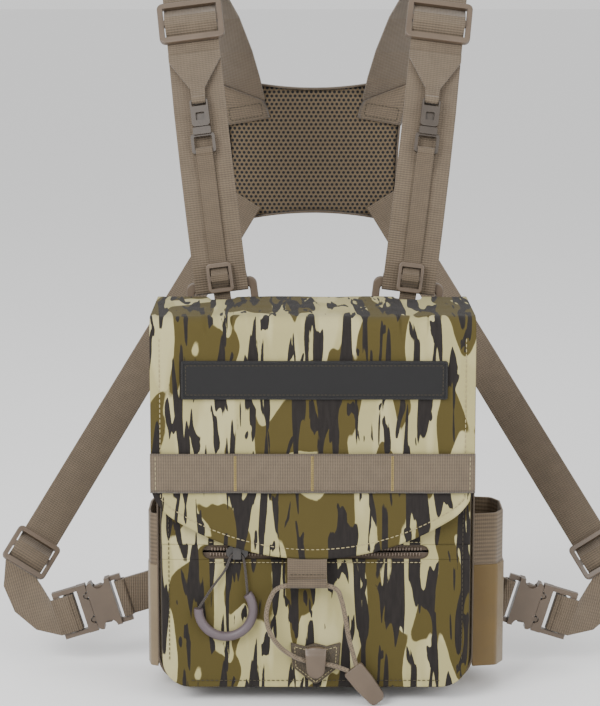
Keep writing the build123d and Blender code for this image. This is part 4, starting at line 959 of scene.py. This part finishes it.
# %% Harness webbing
lean = math.radians(7.2)
for side, sign in (("right", 1), ("left", -1)):
    across = (math.cos(lean), 0, -math.sin(lean) * sign)
    along = (math.sin(lean) * sign, 0.4, math.cos(lean))
    # the side strap's way from the pad's lower corner to its glide
    down = Vector((0.452 * sign, -0.544, -0.708))
    side_across = down.cross(Vector((0, 1, 0))).normalized() * sign
    cloth_copy("shoulder_strap_" + side, "pack", "webbing", webbing, across, along)
    cloth_copy("yoke_strap_" + side, "pack", "webbing", webbing, across, (0, 1, -0.6))
    cloth_copy("side_strap_" + side, "pack", "webbing", webbing, side_across, down)
    cloth_copy("tether_top_" + side, "pack", "webbing", webbing, across, along)
    # these two cross a joint between the pack and a buckle, so they get no body and their transform is baked
    # into their points
    tether = cloth_copy("tether_strap_" + side, None, "webbing", thin_webbing, across, along, 0.2, False)
    cut_across(tether, 2, 30)
    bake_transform(tether)
    tilt = ((0.29 * sign, 0, 0.956), (0.956 * sign, 0, -0.29))
    loop = cloth_copy("side_loop_" + side, None, "webbing", webbing, *tilt, 0.2, False)
    cut_across(loop, 0, 30)
    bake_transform(loop)
cloth_copy("ring_tabs", "pack", "webbing", webbing)
cloth_copy("buckle_stubs", "pack", "webbing", webbing, (0, 0, 1), (1, 0, 0))

# %% [markdown]
# Buckles, glides, rings, slider and foam are hard or hidden pieces, so their packed
# meshes stay as they are and only get their finish.

# %% Moulded pieces
sliders = ["shoulder_sliders", "tether_sliders", "side_sliders"]
kinds = ("buckle_male_", "prong_upper_", "prong_lower_")
released = [kind + side for kind in kinds for side in ("right", "left")]
hard = {
    nylon: ["top_rings", *sliders, "buckle_females", "cord_pull", *released],
    dark_nylon: ["tether_buckle_females", "tether_buckle_male_right", "tether_buckle_male_left"],
    slider_metal: ["zip_slider"],
    grip_rubber: ["zip_pull_grip"],
    foam: ["back_foam", "base_foam"],
}
for finish, names in hard.items():
    for name in names:
        nodes[name].data.materials.clear()
        nodes[name].data.materials.append(finish)

# %% [markdown]
# The two pads are foam under air mesh. Each is rebuilt in small cells from its
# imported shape, then pinched towards its edge, where a binding is sewn over it.

# %% Pads


def soft_pad(node, material, slot, pinch, reach, voxel=2.2):
    """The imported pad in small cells, pinched by pinch mm at its rim, which eases to 0 at reach mm."""
    source = placed(node + "_rough", merged_copy(node))
    cells = source.modifiers.new("cells", "REMESH")
    cells.mode, cells.voxel_size = "VOXEL", voxel * MM
    bpy.context.view_layer.update()
    rebuilt = source.evaluated_get(bpy.context.evaluated_depsgraph_get())
    mesh = bpy.data.meshes.new_from_object(rebuilt)
    work = bmesh.new()
    work.from_mesh(source.data)
    sharp = [e for e in work.edges if len(e.link_faces) == 2 and e.calc_face_angle() > 0.6]
    # points every 3 mm or so along the pad's sharp edges
    rim = []
    for e in sharp:
        for f in np.linspace(0, 1, 1 + max(1, int(e.calc_length() / 0.003))):
            rim.append(e.verts[0].co.lerp(e.verts[1].co, f)[:])
    rim = np.array(rim)
    work.free()
    bpy.data.objects.remove(source)
    places = vertex_places(mesh)
    away = np.full(len(places), 1.0)
    for chunk in np.array_split(rim, max(1, len(rim) // 200)):
        gap = places[:, None, [0, 2]] - chunk[None, :, [0, 2]]
        away = np.minimum(away, np.sqrt((gap**2).sum(-1)).min(1))
    middle = (places[:, 1].min() + places[:, 1].max()) / 2
    from_middle = places[:, 1] - middle
    pull = pinch * MM * (1 - smooth_step(away / (reach * MM)))
    soft = 0.25 * MM * ripple(places[:, 0] / MM, places[:, 2] / MM, 12, 18.0)
    moved = np.minimum(pull + np.abs(soft), np.abs(from_middle) * 0.9)
    places[:, 1] -= np.sign(from_middle) * moved
    mesh.vertices.foreach_set("co", places.ravel())
    map_cloth(mesh, places[:, [0, 2]])
    mesh.materials.clear()
    mesh.materials.append(material)
    mesh.shade_smooth()
    piece = placed(node + "_soft", mesh)
    put(piece, "pack", slot, node)
    print(node, "cells", len(mesh.polygons))


soft_pad("yoke_pad", air_mesh, "spacer_mesh", 2.0, 16.0)
soft_pad("chest_mesh", air_mesh, "spacer_mesh", 1.0, 14.0, 1.5)
cloth_copy("yoke_backing", "pack", "taupe_fabric", taupe_cloth, soften=0.3, flat=False)
cloth_copy("yoke_binding", "pack", "webbing", binding, soften=0.3, flat=False)
down = np.linspace(0.0, 1.0, 7)
for side, sign in (("right", 1), ("left", -1)):
    # the yoke strap lands askew on the pad, and its sewn end straightens as it goes down
    end_line = np.stack([sign * (54.0 - 6.0 * down), 185.1 - 0.1 * down, 244.8 - 22.0 * down], -1)
    askew, square = np.array([1.10, 0.0, 0.41 * sign]), np.array([0.985, 0.0, -0.17 * sign])
    width_way = askew + (square - askew) * np.minimum(1.0, 1.6 * down)[:, None]
    sewn = ribbon("yoke_strap_end_" + side, end_line, width_way, (0, -1, 0), 33.0, WEB_T, webbing)
    put(sewn, "pack", "webbing")
    corner_at = [
        (sign * (49.6 + a * 0.985 + b * 0.17), 184.1, 229.5 - a * 0.17 + b * 0.985)
        for a, b in ((-12.0, -4.0), (12.0, -4.0), (12.0, 5.0), (-12.0, 5.0), (-12.0, -4.0))
    ]
    seam("yoke_end_stitches_" + side, "pack", dark_thread, sides(corner_at), pitch=2.6, thick=0.6)

# %% [markdown]
# A wide pale floor, a broad light on each side, one above and an even white sky
# light the cloth evenly, with soft shadows.

# %% Studio
FLOOR_R, FLOOR_SIDES = 30.0, 48
ground = cad_box[0][2] - 0.001
turn = np.linspace(0, 2 * math.pi, FLOOR_SIDES, endpoint=False)
disc = [(FLOOR_R * math.cos(a), FLOOR_R * math.sin(a), ground) for a in turn]
floor_mesh = bpy.data.meshes.new("floor")
floor_mesh.from_pydata(disc, [], [tuple(range(FLOOR_SIDES))])
floor = placed("floor", floor_mesh)
paper, _, paper_shader = new_material("matt_paper", 0.9)
paper_shader.inputs["Base Color"].default_value = grey(0.9)
floor_mesh.materials.append(paper)
floor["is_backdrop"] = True


def softbox(name, place, aim, size, power):
    """A square area light at a place, turned to face another."""
    light = bpy.data.lights.new(name, "AREA")
    light.size, light.energy = size, power
    lamp = bpy.data.objects.new(name, light)
    lamp.location = place
    lamp.rotation_euler = (Vector(aim) - Vector(place)).to_track_quat("-Z", "Y").to_euler()
    bpy.context.collection.objects.link(lamp)


softbox("key", (-0.9, -1.3, 1.0), (0, 0, 0.05), 0.9, 30)
softbox("fill", (1.1, -1.2, 0.7), (0, 0, 0.05), 1.2, 15)
softbox("top", (0.0, 0.4, 1.6), (0, 0, 0.1), 1.2, 5)
world = bpy.data.worlds.new("studio")
bpy.context.scene.world = world
world.use_nodes = True
world.node_tree.nodes["Background"].inputs[0].default_value = (1, 1, 1, 1)
world.node_tree.nodes["Background"].inputs[1].default_value = 1.0

# %% [markdown]
# Last, the size of the finished piece is printed beside the imported one's.

# %% Finish
print("cad", cad_box, "visual", corners())
